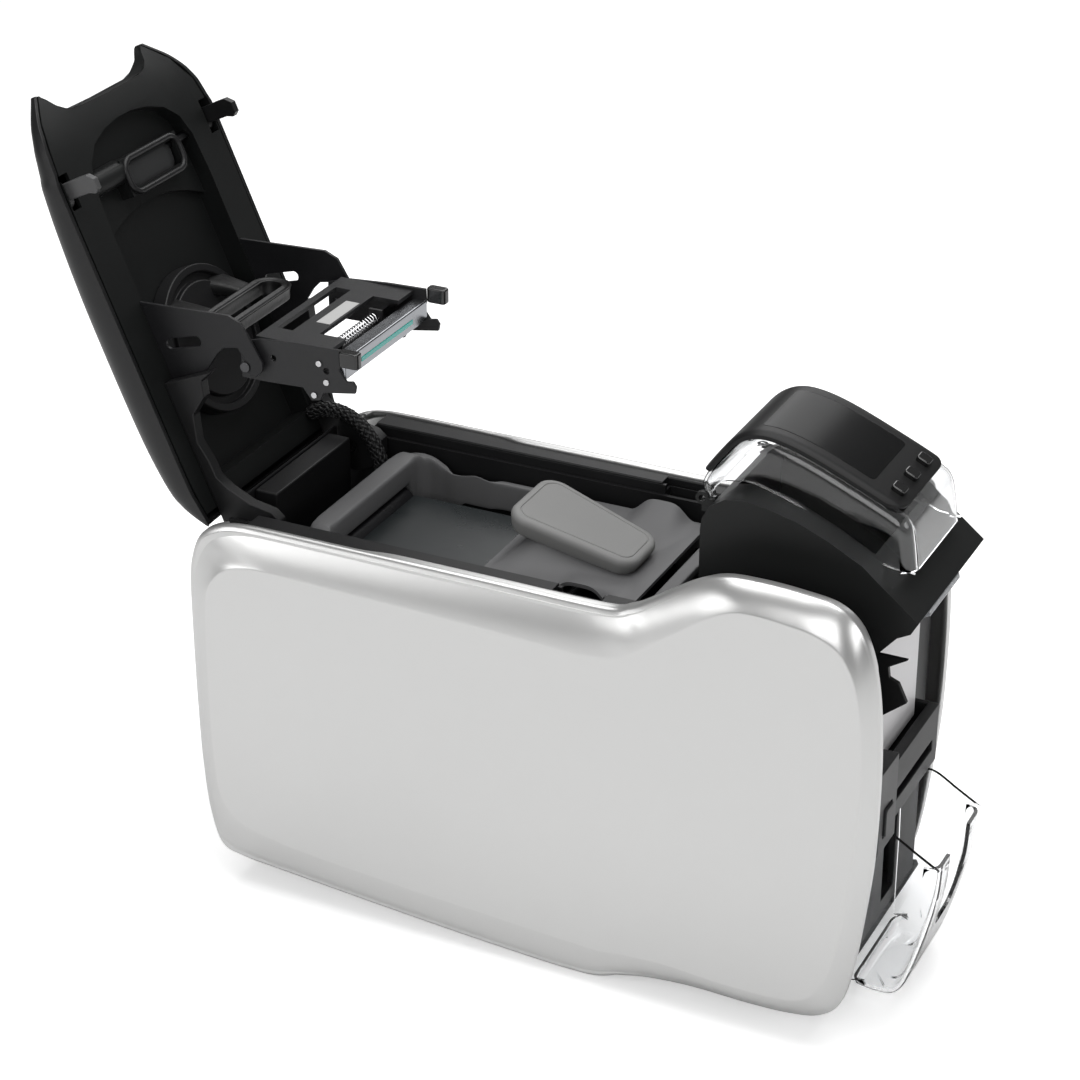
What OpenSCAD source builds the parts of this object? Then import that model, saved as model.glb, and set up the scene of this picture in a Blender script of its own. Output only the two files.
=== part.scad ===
// Desktop id card printer, shown with its lid open: two satin side panels, a black
// hinged lid that carries the print head, a lift-out ribbon cartridge, a card hopper
// with a display on its clear cover, and a clear output bin at the front.
// X points to the front, Y across, Z up. The part stands on its feet at Z = 0.

/* [Body] */
// Length of the near side panel, back to front
panel_len = 341; // [320:1:360]
// Height of the side panels at their front hump
panel_h = 223; // [215:1:235]
// Width over both side panels
body_w = 158; // [154:1:170]
// How far the far panel stops short of the near one at the front
far_panel_short = 16; // [0:1:24]
// Wall of the side panels
panel_wall = 2.6; // [2:0.1:4]
// Height of the feet below the panels
foot_drop = 3; // [2:0.5:6]

/* [Frame] */
// Distance between the two chassis walls, inside
frame_gap = 108; // [107:0.5:110]
// Thickness of the chassis walls
frame_wall = 2; // [1.5:0.1:3]
// Thickness of the floor tray
tray_t = 3; // [2:0.5:4]

/* [Lid] */
// Distance from the hinge to the lid's front horns
lid_reach = 217; // [212:1:219]
// Half the width of the lid at its edge
lid_half = 66; // [65:0.5:67]
// Height of the lid's crown above its edge
lid_rise = 28.5; // [27:0.5:34]
// Wall of the lid's outer shell
lid_wall = 2.2; // [1.6:0.1:2.6]
// Angle that the lid is opened by
lid_open = 113.4; // [90:0.1:116]
// Depth of the hinge below the rim
hinge_drop = 11.5; // [11:0.1:13]
// Distance from the panels' rear edge to the hinge
hinge_back = 22; // [21:0.5:26]
// Diameter of the hinge pins
hinge_pin_d = 6; // [4:0.5:8]

/* [Print head] */
// Distance between the head's two side plates, inside
head_gap = 79; // [76:0.5:80]
// Thickness of the head's side plates
head_plate_t = 1.6; // [1.2:0.1:1.9]
// Distance between the lid's two bracket plates, inside
bracket_gap = 87; // [86.5:0.1:88]
// Thickness of the bracket plates
bracket_t = 1.6; // [1.2:0.1:1.8]
// Diameter of the print roller
platen_d = 12; // [10:0.5:13]
// Length of the printing line
print_line = 49; // [46:1:54]
// Diameter of the head's coil spring
spring_d = 5.2; // [4:0.1:6]
// Wire of the coil spring
spring_wire = 0.7; // [0.5:0.05:0.9]
// Turns of the coil spring
spring_turns = 15; // [8:1:18]

/* [Cartridge] */
// Outer width of the ribbon cartridge
cartridge_w = 100; // [99:0.5:102]
// Thickness of the cartridge's frame
cartridge_h = 12; // [10:0.5:13]
// How far the cartridge stops short of the lid's front horns
cartridge_gap = 16; // [15:0.5:18]
// Diameter of the full ribbon roll
full_roll_d = 34; // [28:1:36]
// Diameter of the used ribbon roll
used_roll_d = 26; // [18:1:28]

/* [Hopper] */
// Half the width of the hopper
hopper_half = 44; // [40:0.5:46]
// Length of the hopper
hopper_len = 100; // [96:1:104]
// Half the width of the clear cover
cover_half = 31; // [30:0.5:33]
// Wall of the clear cover
cover_wall = 1.8; // [1.4:0.1:2.4]
// Side of the square menu buttons
menu_button = 6.5; // [6:0.5:9]

/* [Output bin] */
// Half the width of the bin
bin_half = 30.5; // [29:0.5:33]
// Height of the bin
bin_h = 88; // [84:1:90]
// How far the bin stands out of the front
bin_out = 38; // [30:1:42]
// Wall of the bin
bin_wall = 1.8; // [1.4:0.1:2.4]

/* [Hidden] */

// Running clearance round a turning pin
run_gap = 0.05;
// Gap between parts that seat loosely or close past each other
seat_gap = 0.3;
// Overrun of every cut
over = 1;
// Sides of round parts
$fn = 48;

module copy_far() {
    mirror([0, 1, 0]) children();
}

function scaled(shares, long, high) = [for (s = shares) [s[0] * long, s[1] * high]];
function moved(pts, d) = [for (p = pts) p + d];
function backwards(list) = [for (i = [len(list) - 1 : -1 : 0]) list[i]];
function spun(p, a) = [p[0] * cos(a) + p[1] * sin(a), p[1] * cos(a) - p[0] * sin(a)];
// Moves each point of a closed outline to the left of its path by d
function inward(pts, d) = let (n = len(pts)) [for (i = [0 : n - 1])
    let (t = pts[(i + 1) % n] - pts[(i + n - 1) % n]) pts[i] + d * [-t[1], t[0]] / norm(t)];
function mirrored(pts) = concat(pts, [for (p = backwards(pts)) [p[0], -p[1]]]);

// A plate in the XZ plane from y = from, thickness towards +Y
module xz_plate(pts, from, thick) {
    translate([0, from + thick, 0]) rotate([90, 0, 0]) linear_extrude(height = thick) polygon(pts);
}

// A round bar along Y between two y values, centred on a point in XZ
module y_bar(at, d, from, to) {
    translate([at[0], to, at[1]]) rotate([90, 0, 0]) cylinder(d = d, h = to - from);
}

// A block given by its low and high corners
module block(low, high) {
    translate(low) cube(high - low);
}

// A plate with rounded corners, lying in XY, centred
module round_plate(long, wide, thick, r) {
    linear_extrude(height = thick) {
        square([long - 2 * r, wide], center = true);
        square([long, wide - 2 * r], center = true);
        for (sx = [-1, 1], sy = [-1, 1])
            translate([sx * (long / 2 - r), sy * (wide / 2 - r)]) circle(r = r);
    }
}

// Stacks rings of points into a closed skin
module ring_skin(rings) {
    n = len(rings[0]);
    m = len(rings);
    pts = [for (r = rings) for (p = r) p];
    sides = [for (k = [0 : m - 2]) for (i = [0 : n - 1]) each
        let (a = k * n + i, b = k * n + (i + 1) % n) [[a, b, b + n], [a, b + n, a + n]]];
    low = [for (i = [n - 1 : -1 : 0]) i];
    high = [for (i = [0 : n - 1]) (m - 1) * n + i];
    polyhedron(points = pts, faces = concat(sides, [low], [high]));
}

// Closes an outer grid and an inner grid of points into a thin shell
module grid_shell(top, low) {
    nu = len(top);
    nv = len(top[0]);
    c = nu * nv;
    pts = concat([for (r = top) for (p = r) p], [for (r = low) for (p = r) p]);
    skin = [for (i = [0 : nu - 2]) for (j = [0 : nv - 2]) each
        let (a = i * nv + j, b = a + 1, d = a + nv, e = d + 1) [[a, b, e], [a, e, d],
            [c + a, c + e, c + b], [c + a, c + d, c + e]]];
    ends = [for (j = [0 : nv - 2]) each
        let (a = j, b = j + 1, d = (nu - 1) * nv + j, e = d + 1) [[a, c + a, c + b], [a, c + b, b],
            [d, e, c + e], [d, c + e, c + d]]];
    edges = [for (i = [0 : nu - 2]) each
        let (a = i * nv, b = a + nv, d = a + nv - 1, e = d + nv) [[a, b, c + b], [a, c + b, c + a],
            [d, c + d, c + e], [d, c + e, e]]];
    polyhedron(points = pts, faces = concat(skin, ends, edges));
}

// Side panels. The crest line is the panel's outer edge seen from the side, and the
// crease line is the outline of its flat face. Both run forward along the bottom first.
crest_shares = [
    [0.029, 0.076], [0.065, 0.056], [0.141, 0.045], [0.299, 0.025], [0.457, 0.008],
    [0.598, 0.000], [0.651, 0.020], [0.692, 0.034], [0.757, 0.042], [0.836, 0.040],
    [0.897, 0.044], [0.938, 0.059], [0.965, 0.099], [0.979, 0.184], [0.990, 0.314],
    [0.998, 0.448], [1.000, 0.605], [0.998, 0.717], [0.992, 0.816], [0.981, 0.892],
    [0.963, 0.951], [0.933, 0.985], [0.886, 0.996], [0.833, 1.000], [0.786, 0.996],
    [0.751, 0.976], [0.718, 0.946], [0.686, 0.913], [0.657, 0.888], [0.616, 0.874],
    [0.440, 0.874], [0.264, 0.874], [0.129, 0.874], [0.082, 0.871], [0.050, 0.859],
    [0.023, 0.832], [0.008, 0.785], [0.001, 0.717], [0.000, 0.574], [0.001, 0.404],
    [0.004, 0.269], [0.012, 0.152]
];
crease_shares = [
    [0.059, 0.182], [0.088, 0.157], [0.164, 0.136], [0.305, 0.118], [0.452, 0.105],
    [0.587, 0.094], [0.628, 0.091], [0.669, 0.099], [0.733, 0.105], [0.809, 0.100],
    [0.880, 0.100], [0.918, 0.112], [0.941, 0.145], [0.959, 0.215], [0.971, 0.327],
    [0.979, 0.453], [0.985, 0.605], [0.983, 0.717], [0.976, 0.807], [0.965, 0.865],
    [0.946, 0.912], [0.915, 0.937], [0.880, 0.946], [0.839, 0.951], [0.806, 0.946],
    [0.774, 0.922], [0.739, 0.883], [0.704, 0.843], [0.669, 0.805], [0.616, 0.776],
    [0.440, 0.783], [0.270, 0.789], [0.152, 0.793], [0.111, 0.793], [0.079, 0.783],
    [0.056, 0.758], [0.041, 0.722], [0.035, 0.673], [0.033, 0.565], [0.033, 0.413],
    [0.036, 0.305], [0.042, 0.229]
];
rim_share = 0.874;
hump_share = 0.62;
face_y = body_w / 2;
face_in_y = face_y - panel_wall;
crest_in = 7.5;
crest_y = face_y - crest_in;
rim_z = rim_share * panel_h;
// The rim shelf reaches in to here, less at its rear stretch, and the wrap elsewhere
rim_depth = 13.5;
rim_rear_depth = 7;
wrap_depth = 5.5;
rim_in_y = crest_y - rim_depth;
rim_rear_in_y = crest_y - rim_rear_depth;
wrap_y = crest_y - wrap_depth;
rim_step_share = 0.29;
rim_step_x = rim_step_share * panel_len;
band_steps = 5;

function shorter(p, cut) = p[0] < hump_share * panel_len ? p
    : [p[0] - cut * (p[0] / panel_len - hump_share) / (1 - hump_share), p[1]];
function outline(shares, cut) = [for (p = scaled(shares, panel_len, panel_h)) shorter(p, cut)];
function rim_y(p) = p[1] < rim_z - panel_wall ? wrap_y : p[0] < rim_step_x ? rim_rear_in_y : rim_in_y;

module side_panel(cut) {
    crest = outline(crest_shares, cut);
    crease = outline(crease_shares, cut);
    n = len(crest);
    crest_low = inward(crest, panel_wall);
    crease_low = inward(crease, panel_wall);
    band = [for (k = [1 : band_steps]) let (a = 90 * k / band_steps)
        [for (i = [0 : n - 1]) let (p = crest[i] + (crease[i] - crest[i]) * (1 - cos(a)))
            [p[0], -crest_y - crest_in * sin(a), p[1]]]];
    rings = concat(
        [[for (p = crease_low) [p[0], -face_in_y, p[1]]]],
        [[for (p = crest_low) [p[0], -crest_y - panel_wall / 2, p[1]]]],
        [[for (i = [0 : n - 1]) [crest_low[i][0], -rim_y(crest[i]), crest_low[i][1]]]],
        [[for (i = [0 : n - 1]) [crest[i][0], -rim_y(crest[i]), crest[i][1]]]],
        [[for (p = crest) [p[0], -crest_y, p[1]]]],
        band);
    difference() {
        ring_skin(rings);
        block([slot_from, -slot_out_y, rim_z - trim_skirt],
            [slot_from + slot_long, -rim_in_y + over, rim_z + over]);
    }
}
module side_panel_near() {
    placed() color([0.84, 0.84, 0.83]) side_panel(0);
}
module side_panel_far() {
    placed() color([0.84, 0.84, 0.83]) copy_far() side_panel(far_panel_short);
}

// Floor tray and rear cover follow the crest line just inside the panels' wrap
body_line = outline(crest_shares, 0);
line_n = len(body_line);
skin_in = 0.4;
skin_low = inward(body_line, skin_in);
skin_top = inward(body_line, skin_in + tray_t);
tray_last = 11;
cover_first = 37;
module floor_tray() {
    placed() color([0.1, 0.1, 0.11]) xz_plate(concat([for (i = [0 : tray_last]) skin_low[i]],
        [for (i = [tray_last : -1 : 0]) skin_top[i]]), -wrap_y, 2 * wrap_y);
}

foot_d = 16;
foot_y = 44;
foot_rear = 40;
foot_front = 285;
module feet() {
    placed() color([0.06, 0.06, 0.06]) intersection() {
        for (x = [foot_rear, foot_front], s = [-1, 1])
            translate([x, s * foot_y, -foot_drop]) cylinder(d = foot_d, h = foot_d + foot_drop);
        xz_plate(concat([skin_low[0] - [0, foot_d]], [[skin_low[0][0], -foot_drop]],
            [[skin_low[tray_last][0], -foot_drop]], [for (i = [tray_last : -1 : 0]) skin_low[i]]),
            -wrap_y, 2 * wrap_y);
    }
}

vent_count = 7;
vent_pitch = 9;
vent_h = 3.2;
vent_w = 62;
vent_z = 84;
inlet_w = 28;
inlet_h = 20;
inlet_y = -30;
port_w = 14;
port_h = 12;
port_y = 16;
socket_z = 60;
socket_x = 1;
cut_deep = 24;
module rear_cover() {
    placed() color([0.1, 0.1, 0.11]) difference() {
        xz_plate(concat([for (i = [cover_first : line_n]) skin_low[i % line_n]],
            [for (i = [line_n : -1 : cover_first]) skin_top[i % line_n]]), -wrap_y, 2 * wrap_y);
        block([-over, inlet_y - inlet_w / 2 - seat_gap, socket_z - inlet_h / 2 - seat_gap],
            [cut_deep, inlet_y + inlet_w / 2 + seat_gap, socket_z + inlet_h / 2 + seat_gap]);
        block([-over, port_y - port_w / 2 - seat_gap, socket_z - port_h / 2 - seat_gap],
            [cut_deep, port_y + port_w / 2 + seat_gap, socket_z + port_h / 2 + seat_gap]);
        for (k = [0 : vent_count - 1])
            block([-over, -vent_w / 2, vent_z + k * vent_pitch],
                [cut_deep, vent_w / 2, vent_z + k * vent_pitch + vent_h]);
    }
}
inlet_deep = 12;
inlet_rim = 3;
inlet_pin = 2;
inlet_pitch = 6;
module power_inlet() {
    placed() color([0.05, 0.05, 0.05]) translate([socket_x, inlet_y, socket_z]) difference() {
        block([0, -inlet_w / 2, -inlet_h / 2], [inlet_deep, inlet_w / 2, inlet_h / 2]);
        difference() {
            block([-over, inlet_rim - inlet_w / 2, inlet_rim - inlet_h / 2],
                [inlet_deep - inlet_rim, inlet_w / 2 - inlet_rim, inlet_h / 2 - inlet_rim]);
            for (s = [-1, 0, 1])
                block([inlet_rim, s * inlet_pitch - inlet_pin / 2, -inlet_pin],
                    [inlet_deep, s * inlet_pitch + inlet_pin / 2, inlet_pin]);
        }
    }
}
port_rim = 1.4;
port_deep = 12;
module data_port() {
    placed() color([0.7, 0.7, 0.72]) translate([socket_x, port_y, socket_z]) difference() {
        block([0, -port_w / 2, -port_h / 2], [port_deep, port_w / 2, port_h / 2]);
        block([-over, port_rim - port_w / 2, port_rim - port_h / 2],
            [port_deep - port_rim, port_w / 2 - port_rim, port_h / 2 - port_rim]);
    }
}

// The hinge and the lid's own frame: x forward from the hinge, z up, lid closed
hinge_x = hinge_back;
hinge_z = rim_z - hinge_drop;
module on_lid() {
    translate([hinge_x, 0, hinge_z]) rotate([0, -lid_open, 0]) children();
}
// The print head's frame: level when the lid stands at its usual angle
head_pivot = [72.3, -29.5];
head_lean = 113.4;
module on_head() {
    on_lid() translate([head_pivot[0], 0, head_pivot[1]]) rotate([0, head_lean, 0]) children();
}
function closed_head(p) = [hinge_x, hinge_z] + head_pivot + spun(p, head_lean);

// Rollers and gears inside. The print roller lies under the closed head's line.
head_face = 49.1;
head_mid = 5;
nip_gap = 0.7;
shaft_d = 6;
gear_m = 1;
roller_teeth = 24;
pinion_teeth = 12;
gear_step = gear_m * (roller_teeth + pinion_teeth) / 2;
platen_at = closed_head([head_face + platen_d / 2 + nip_gap, head_mid]);
pinion_at = platen_at + [gear_step, 0];
feed_at = pinion_at + [gear_step, 0];
pinion_shaft_d = 3;

// Chassis walls carry the hinge and the rollers, and hold the panels on bosses
frame_in = frame_gap / 2;
frame_out = frame_in + frame_wall;
pin_edge = 1.5;
frame_top = hinge_z + hinge_pin_d / 2 + pin_edge;
frame_rear_in = 8;
frame_rear = hinge_x - frame_rear_in;
frame_front_in = 25;
frame_front = panel_len - frame_front_in;
boss_d = 10;
boss_shares = [[0.15, 0.27], [0.15, 0.65], [0.81, 0.27], [0.81, 0.72]];
ledge_h = 4;
ledge_long = 9;
rear_ledge_share = 0.205;
front_ledge_share = 0.08;
module cartridge_ledge(from, share) {
    top = cart_top - share * cartridge_len;
    block([from, -frame_in - over, top - ledge_h], [from + ledge_long, -rail_in, top]);
}
module chassis_wall() {
    color([0.13, 0.13, 0.14]) difference() {
        union() {
            intersection() {
                xz_plate(concat([for (i = [0 : tray_last]) skin_top[i]],
                    [[skin_top[tray_last][0], frame_top]], [[skin_top[0][0], frame_top]]), -frame_out,
                        frame_wall);
                block([frame_rear, -frame_out - over, 0],
                    [frame_front, -frame_in + over, frame_top + over]);
            }
            for (p = scaled(boss_shares, panel_len, panel_h)) y_bar(p, boss_d, -face_in_y,
                -frame_out + over / 2);
            cartridge_ledge(cart_x, rear_ledge_share);
            cartridge_ledge(cart_x + cartridge_len - ledge_long, front_ledge_share);
        }
        for (p = [platen_at, feed_at]) y_bar(p, shaft_d + 2 * run_gap, -frame_out - over,
            -frame_in + over);
        y_bar([hinge_x, hinge_z], hinge_pin_d, -frame_out - over, -frame_in + over);
        y_bar(pinion_at, pinion_shaft_d + 2 * run_gap, -frame_out - over, -frame_in + over);
    }
}
module chassis_wall_near() {
    placed() chassis_wall();
}
module chassis_wall_far() {
    placed() copy_far() chassis_wall();
}
pin_head = 2;
module hinge_pins() {
    placed() color([0.75, 0.75, 0.76]) for (s = [0, 1]) mirror([0, s, 0])
        y_bar([hinge_x, hinge_z], hinge_pin_d, -frame_out - pin_head, -arm_in);
}
screw_d = 7;
screw_h = 1.6;
screw_shares = [[0.08, 0.15], [0.08, 0.72], [0.62, 0.16], [0.62, 0.72], [0.88, 0.2]];
module chassis_screws() {
    placed() color([0.75, 0.75, 0.76]) for (s = [0, 1], p = scaled(screw_shares, panel_len, panel_h))
        mirror([0, s, 0]) y_bar(p, screw_d, -frame_out - screw_h, -frame_out);
}

// Rim trims fill the strip between the chassis walls and the panels' rims
trim_drop = 2.4;
trim_t = 3;
trim_lip = 1.6;
trim_skirt = 13;
trim_top = rim_z - trim_drop;
trim_low = rim_z - trim_skirt;
trim_rear_in = 8;
trim_rear = hinge_x + trim_rear_in;
trim_front_share = 0.7;
trim_front = trim_front_share * panel_len;
latch_y = 59;
latch_t = 3.4;
slot_clear = 1.5;
slot_out_y = latch_y + latch_t / 2 + slot_clear;
slot_in_y = latch_y - latch_t / 2 - slot_clear;
hook_share = 0.7834;
hook_x = hook_share * lid_reach;
slot_back = 6;
slot_long = 20;
slot_from = hinge_x + hook_x - slot_back;
slot_wall = 1.4;
module rim_trim() {
    color([0.11, 0.11, 0.12]) difference() {
        union() {
            block([trim_rear, -rim_rear_in_y, trim_top - trim_t],
                [rim_step_x - seat_gap, -frame_out, trim_top]);
            block([rim_step_x - seat_gap, -rim_in_y, trim_top - trim_t],
                [trim_front, -frame_out, trim_top]);
            block([trim_rear, -frame_out - trim_lip, trim_low], [trim_front, -frame_out, trim_top]);
            block([slot_from - slot_wall, -slot_out_y - slot_wall, trim_low],
                [slot_from + slot_long + slot_wall, -frame_out, trim_top - trim_t]);
        }
        block([slot_from, -slot_out_y, trim_low - over],
            [slot_from + slot_long, -slot_in_y, trim_top + over]);
    }
}
module rim_trim_near() {
    placed() rim_trim();
}
module rim_trim_far() {
    placed() copy_far() rim_trim();
}

// Rear housing: the black box below the hinge, between the lid's arms
housing_half = 35;
housing_long = 12;
housing_x = hinge_x - housing_long / 2;
housing_drop = 0.6;
housing_top = rim_z - housing_drop;
housing_step = 8;
housing_step_drop = 24;
housing_wall = 2.4;
module rear_housing() {
    placed() color([0.09, 0.09, 0.1]) difference() {
        union() {
            block([housing_x, -housing_half, 0], [housing_x + housing_long, housing_half, housing_top]);
            block([housing_x, -housing_half - housing_step, 0],
                [housing_x + housing_long, housing_half, housing_top - housing_step_drop]);
        }
        block([housing_x + housing_wall, -housing_half + housing_wall, -over],
            [housing_x + housing_long - housing_wall, housing_half - housing_wall,
                housing_top - housing_step_drop]);
        xz_plate(concat([for (i = [0 : tray_last]) [skin_low[i][0], -foot_d]],
            [for (i = [tray_last : -1 : 0]) skin_top[i]]), -wrap_y, 2 * wrap_y);
    }
}

// Electronics and motor, between the chassis walls and the panels
board_t = 1.6;
board_shares = [[0.32, 0.26], [0.63, 0.67]];
board_from = scaled(board_shares, panel_len, panel_h)[0];
board_to = scaled(board_shares, panel_len, panel_h)[1];
side_room = body_w / 2 - panel_wall - frame_out;
board_off_share = 0.15;
board_off = board_off_share * side_room;
post_d = 5;
post_in = 6;
chip = 18;
chip_pitch = 25;
chip_h_share = 0.15;
chip_h = chip_h_share * side_room;
module main_board() {
    placed() color([0.05, 0.3, 0.18]) {
        block([board_from[0], frame_out + board_off, board_from[1]],
            [board_to[0], frame_out + board_off + board_t, board_to[1]]);
        for (x = [board_from[0] + post_in, board_to[0] - post_in],
            z = [board_from[1] + post_in, board_to[1] - post_in])
            y_bar([x, z], post_d, frame_out, frame_out + board_off);
        for (k = [1, 2, 3])
            block([board_from[0] + k * chip_pitch, frame_out + board_off, board_from[1] + chip],
                [board_from[0] + k * chip_pitch + chip, frame_out + board_off + board_t + chip_h,
                    board_from[1] + 2 * chip]);
    }
}
motor_d = 28;
motor_clear = 2.4;
motor_long = side_room - motor_clear;
motor_shaft_share = 0.28;
motor_shaft_in = motor_shaft_share * motor_long;
module drive_motor() {
    placed() color([0.6, 0.6, 0.62]) difference() {
        y_bar(pinion_at, motor_d, -frame_out - motor_long, -frame_out);
        y_bar(pinion_at, pinion_shaft_d + 2 * run_gap, -frame_out - motor_shaft_in - over,
            -frame_out + over);
    }
}

tooth_shares = [[-0.29, -1.15], [-0.2, 0], [-0.11, 0.85], [0.11, 0.85], [0.2, 0], [0.29, -1.15]];
gear_w = 4;
gear_y = 49;
module gear(teeth, bore) {
    rotate([90, 0, 0]) linear_extrude(height = gear_w, center = true) polygon([for (i = [0 : teeth - 1])
        for (q = tooth_shares) let (a = 360 * (i + q[0]) / teeth,
            r = gear_m * (teeth / 2 + q[1])) [r * cos(a), r * sin(a)]]);
}
roller_over = 4;
roller_half = print_line / 2 + roller_over;
module roller(at, d) {
    y_bar(at, d, -roller_half, roller_half);
    y_bar(at, shaft_d, -frame_out, frame_out);
    translate([at[0], -gear_y - gear_w / 2, at[1]]) gear(roller_teeth);
}
module platen_roller() {
    placed() color([0.12, 0.12, 0.12]) roller(platen_at, platen_d);
}
module feed_roller() {
    placed() color([0.12, 0.12, 0.12]) roller(feed_at, platen_d);
}
module motor_pinion() {
    placed() color([0.85, 0.8, 0.7]) {
        translate([pinion_at[0], -gear_y - gear_w / 2, pinion_at[1]]) rotate([0, 180 / pinion_teeth,
            0]) gear(pinion_teeth);
        y_bar(pinion_at, pinion_shaft_d, -frame_out - motor_shaft_in, -gear_y + over);
    }
}

// Front plate between the panels, with the hopper's two cheeks behind it
front_x = frame_front;
front_t = 3;
slot_w = 56;
slot_h = 5;
bin_floor = 1.5;
bin_top_gap = 3;
bezel_low = bin_floor + bin_h + bin_top_gap;
bezel_h = 30;
slot_up = 9;
slot_z = bezel_low + slot_up;
cheek_t = 2.4;
cheek_y = 30;
cheek_shares = [
    [0.00, 0.00], [0.64, 0.00], [0.72, 0.28], [0.84, 0.66], [0.90, 0.70], [0.99, 0.76], [0.93, 0.86],
    [0.87, 0.88], [0.86, 0.94], [0.94, 0.98], [0.98, 1.00], [0.00, 1.00]
];
cheek_long = 71;
cheek_back_share = 0.67;
cheek_x = front_x - cheek_back_share * cheek_long;
column_half = 11;
bin_opening = 8;
hopper_drop = 15;
hopper_low = rim_z - hopper_drop;
front_low = skin_top[tray_last][1] + over / 2;
module front_plate() {
    placed() color([0.07, 0.07, 0.08]) {
        difference() {
            block([front_x, -rim_in_y, front_low], [front_x + front_t, rim_in_y, hopper_low]);
            block([front_x - over, -cheek_y, bezel_low],
                [front_x + front_t + over, cheek_y, hopper_low + over]);
            for (s = [0, 1]) mirror([0, s, 0])
                block([front_x - over, column_half, front_low + bin_opening],
                    [front_x + front_t + over, cheek_y - cheek_t, bezel_low - bin_opening]);
        }
        xz_plate(moved(scaled(cheek_shares, cheek_long, hopper_low - bezel_low), [cheek_x, bezel_low]),
            -cheek_y - cheek_t, cheek_t);
        block([cheek_x, cheek_y, bezel_low], [front_x + front_t, cheek_y + cheek_t, hopper_low]);
    }
}

// White guide that the waiting cards lean on
guide_half = 27;
guide_t = 2;
guide_x = front_x + front_t + guide_t;
guide_bend = 24;
guide_back = 15;
guide_low = slot_z + slot_h + over;
module card_guide() {
    placed() color([0.93, 0.92, 0.92]) {
        xz_plate([[guide_x, bezel_low + guide_bend], [guide_x + guide_t, bezel_low + guide_bend],
            [guide_x + guide_t, hopper_low], [guide_x, hopper_low]], -cheek_y, 2 * cheek_y);
        xz_plate([[guide_x - guide_back, guide_low], [guide_x - guide_back + guide_t, guide_low],
            [guide_x + guide_t, bezel_low + guide_bend], [guide_x, bezel_low + guide_bend]],
                -guide_half, 2 * guide_half);
    }
}

// Black bezel round the card slot
bezel_out = 17;
bezel_half = 35;
bezel_bar = 5;
module slot_bezel() {
    placed() color([0.08, 0.08, 0.09]) difference() {
        block([front_x + front_t, -bezel_half, bezel_low],
            [front_x + bezel_out, bezel_half, bezel_low + bezel_h]);
        block([front_x, -slot_w / 2, slot_z], [front_x + bezel_out + over, slot_w / 2, slot_z + slot_h]);
        block([front_x, -cheek_y - cheek_t, slot_z + slot_h + bezel_bar],
            [front_x + bezel_out - bezel_bar, cheek_y + cheek_t, bezel_low + bezel_h + over]);
    }
}

// Panel at the near front with the power button
power_y = -46.5;
power_half = 11;
power_lift = 1.5;
power_low = bezel_low + power_lift;
power_h = 42;
power_out = 22;
power_wall = 2;
power_btn_w = 10;
power_btn_h = 14;
power_btn_up = 14;
power_btn_z = power_low + power_btn_up;
power_btn_t = 4;
power_proud = 1.2;
module power_panel() {
    placed() color([0.2, 0.2, 0.21]) difference() {
        block([front_x + front_t, power_y - power_half, power_low],
            [front_x + power_out, power_y + power_half, power_low + power_h]);
        block([front_x + front_t - over, power_y - power_half + power_wall, power_low + power_wall],
            [front_x + power_out - power_wall, power_y + power_half - power_wall,
                power_low + power_h - power_wall]);
        block([front_x + front_t, power_y - power_btn_w / 2 - seat_gap,
            power_btn_z - power_btn_h / 2 - seat_gap],
            [front_x + power_out + over, power_y + power_btn_w / 2 + seat_gap,
                power_btn_z + power_btn_h / 2 + seat_gap]);
    }
}
module power_button() {
    placed() color([0.24, 0.24, 0.25]) translate([front_x + power_out - power_btn_t + power_proud,
        power_y, power_btn_z])
        rotate([0, 90, 0]) round_plate(power_btn_h, power_btn_w, power_btn_t, power_wall);
}

// Small sloped chute behind the bin, below the card slot
ramp_long = 12;
ramp_high = 26;
module output_ramp() {
    placed() color([0.09, 0.09, 0.1]) xz_plate([[front_x - ramp_long, bezel_low - ramp_high],
        [front_x, bezel_low - ramp_high],
        [front_x, bezel_low - bin_opening], [front_x - guide_t, bezel_low - bin_opening]],
        -cheek_y, 2 * cheek_y);
}

// Hopper base: the black body below the clear cover
lid_clear = 6;
hopper_x = hinge_x + lid_reach + lid_clear;
hopper_shares = [
    [0.000, 0.000], [0.600, 0.000], [0.790, 0.030], [0.912, 0.250], [0.972, 0.300], [1.003, 0.388],
    [0.930, 0.480], [0.820, 0.616], [0.740, 0.720], [0.580, 0.848], [0.440, 0.936], [0.300, 0.990],
    [0.190, 1.010], [0.110, 0.990], [0.040, 0.920], [0.006, 0.820], [0.000, 0.740]
];
hopper_rise = 65;
hopper_flange = 6;
hopper_flange_long = 62;
hopper_wall = 3;
hopper_back = 10;
hopper_floor = 8;
hopper_drop_x = 32;
hopper_deep = 74;
hopper_in_half = cover_half - cover_wall - hopper_wall;
cover_pin_d = 3;
cover_ear = 2.4;
cover_ear_r = 3;
cover_pin_back = 3;
cover_pin_share = 0.9;
cover_pin_at = [hopper_x - cover_pin_back, hopper_low + cover_pin_share * hopper_rise];
cover_ear_gap = 2;
cover_ear_y = cover_half + cover_ear_gap;
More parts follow.
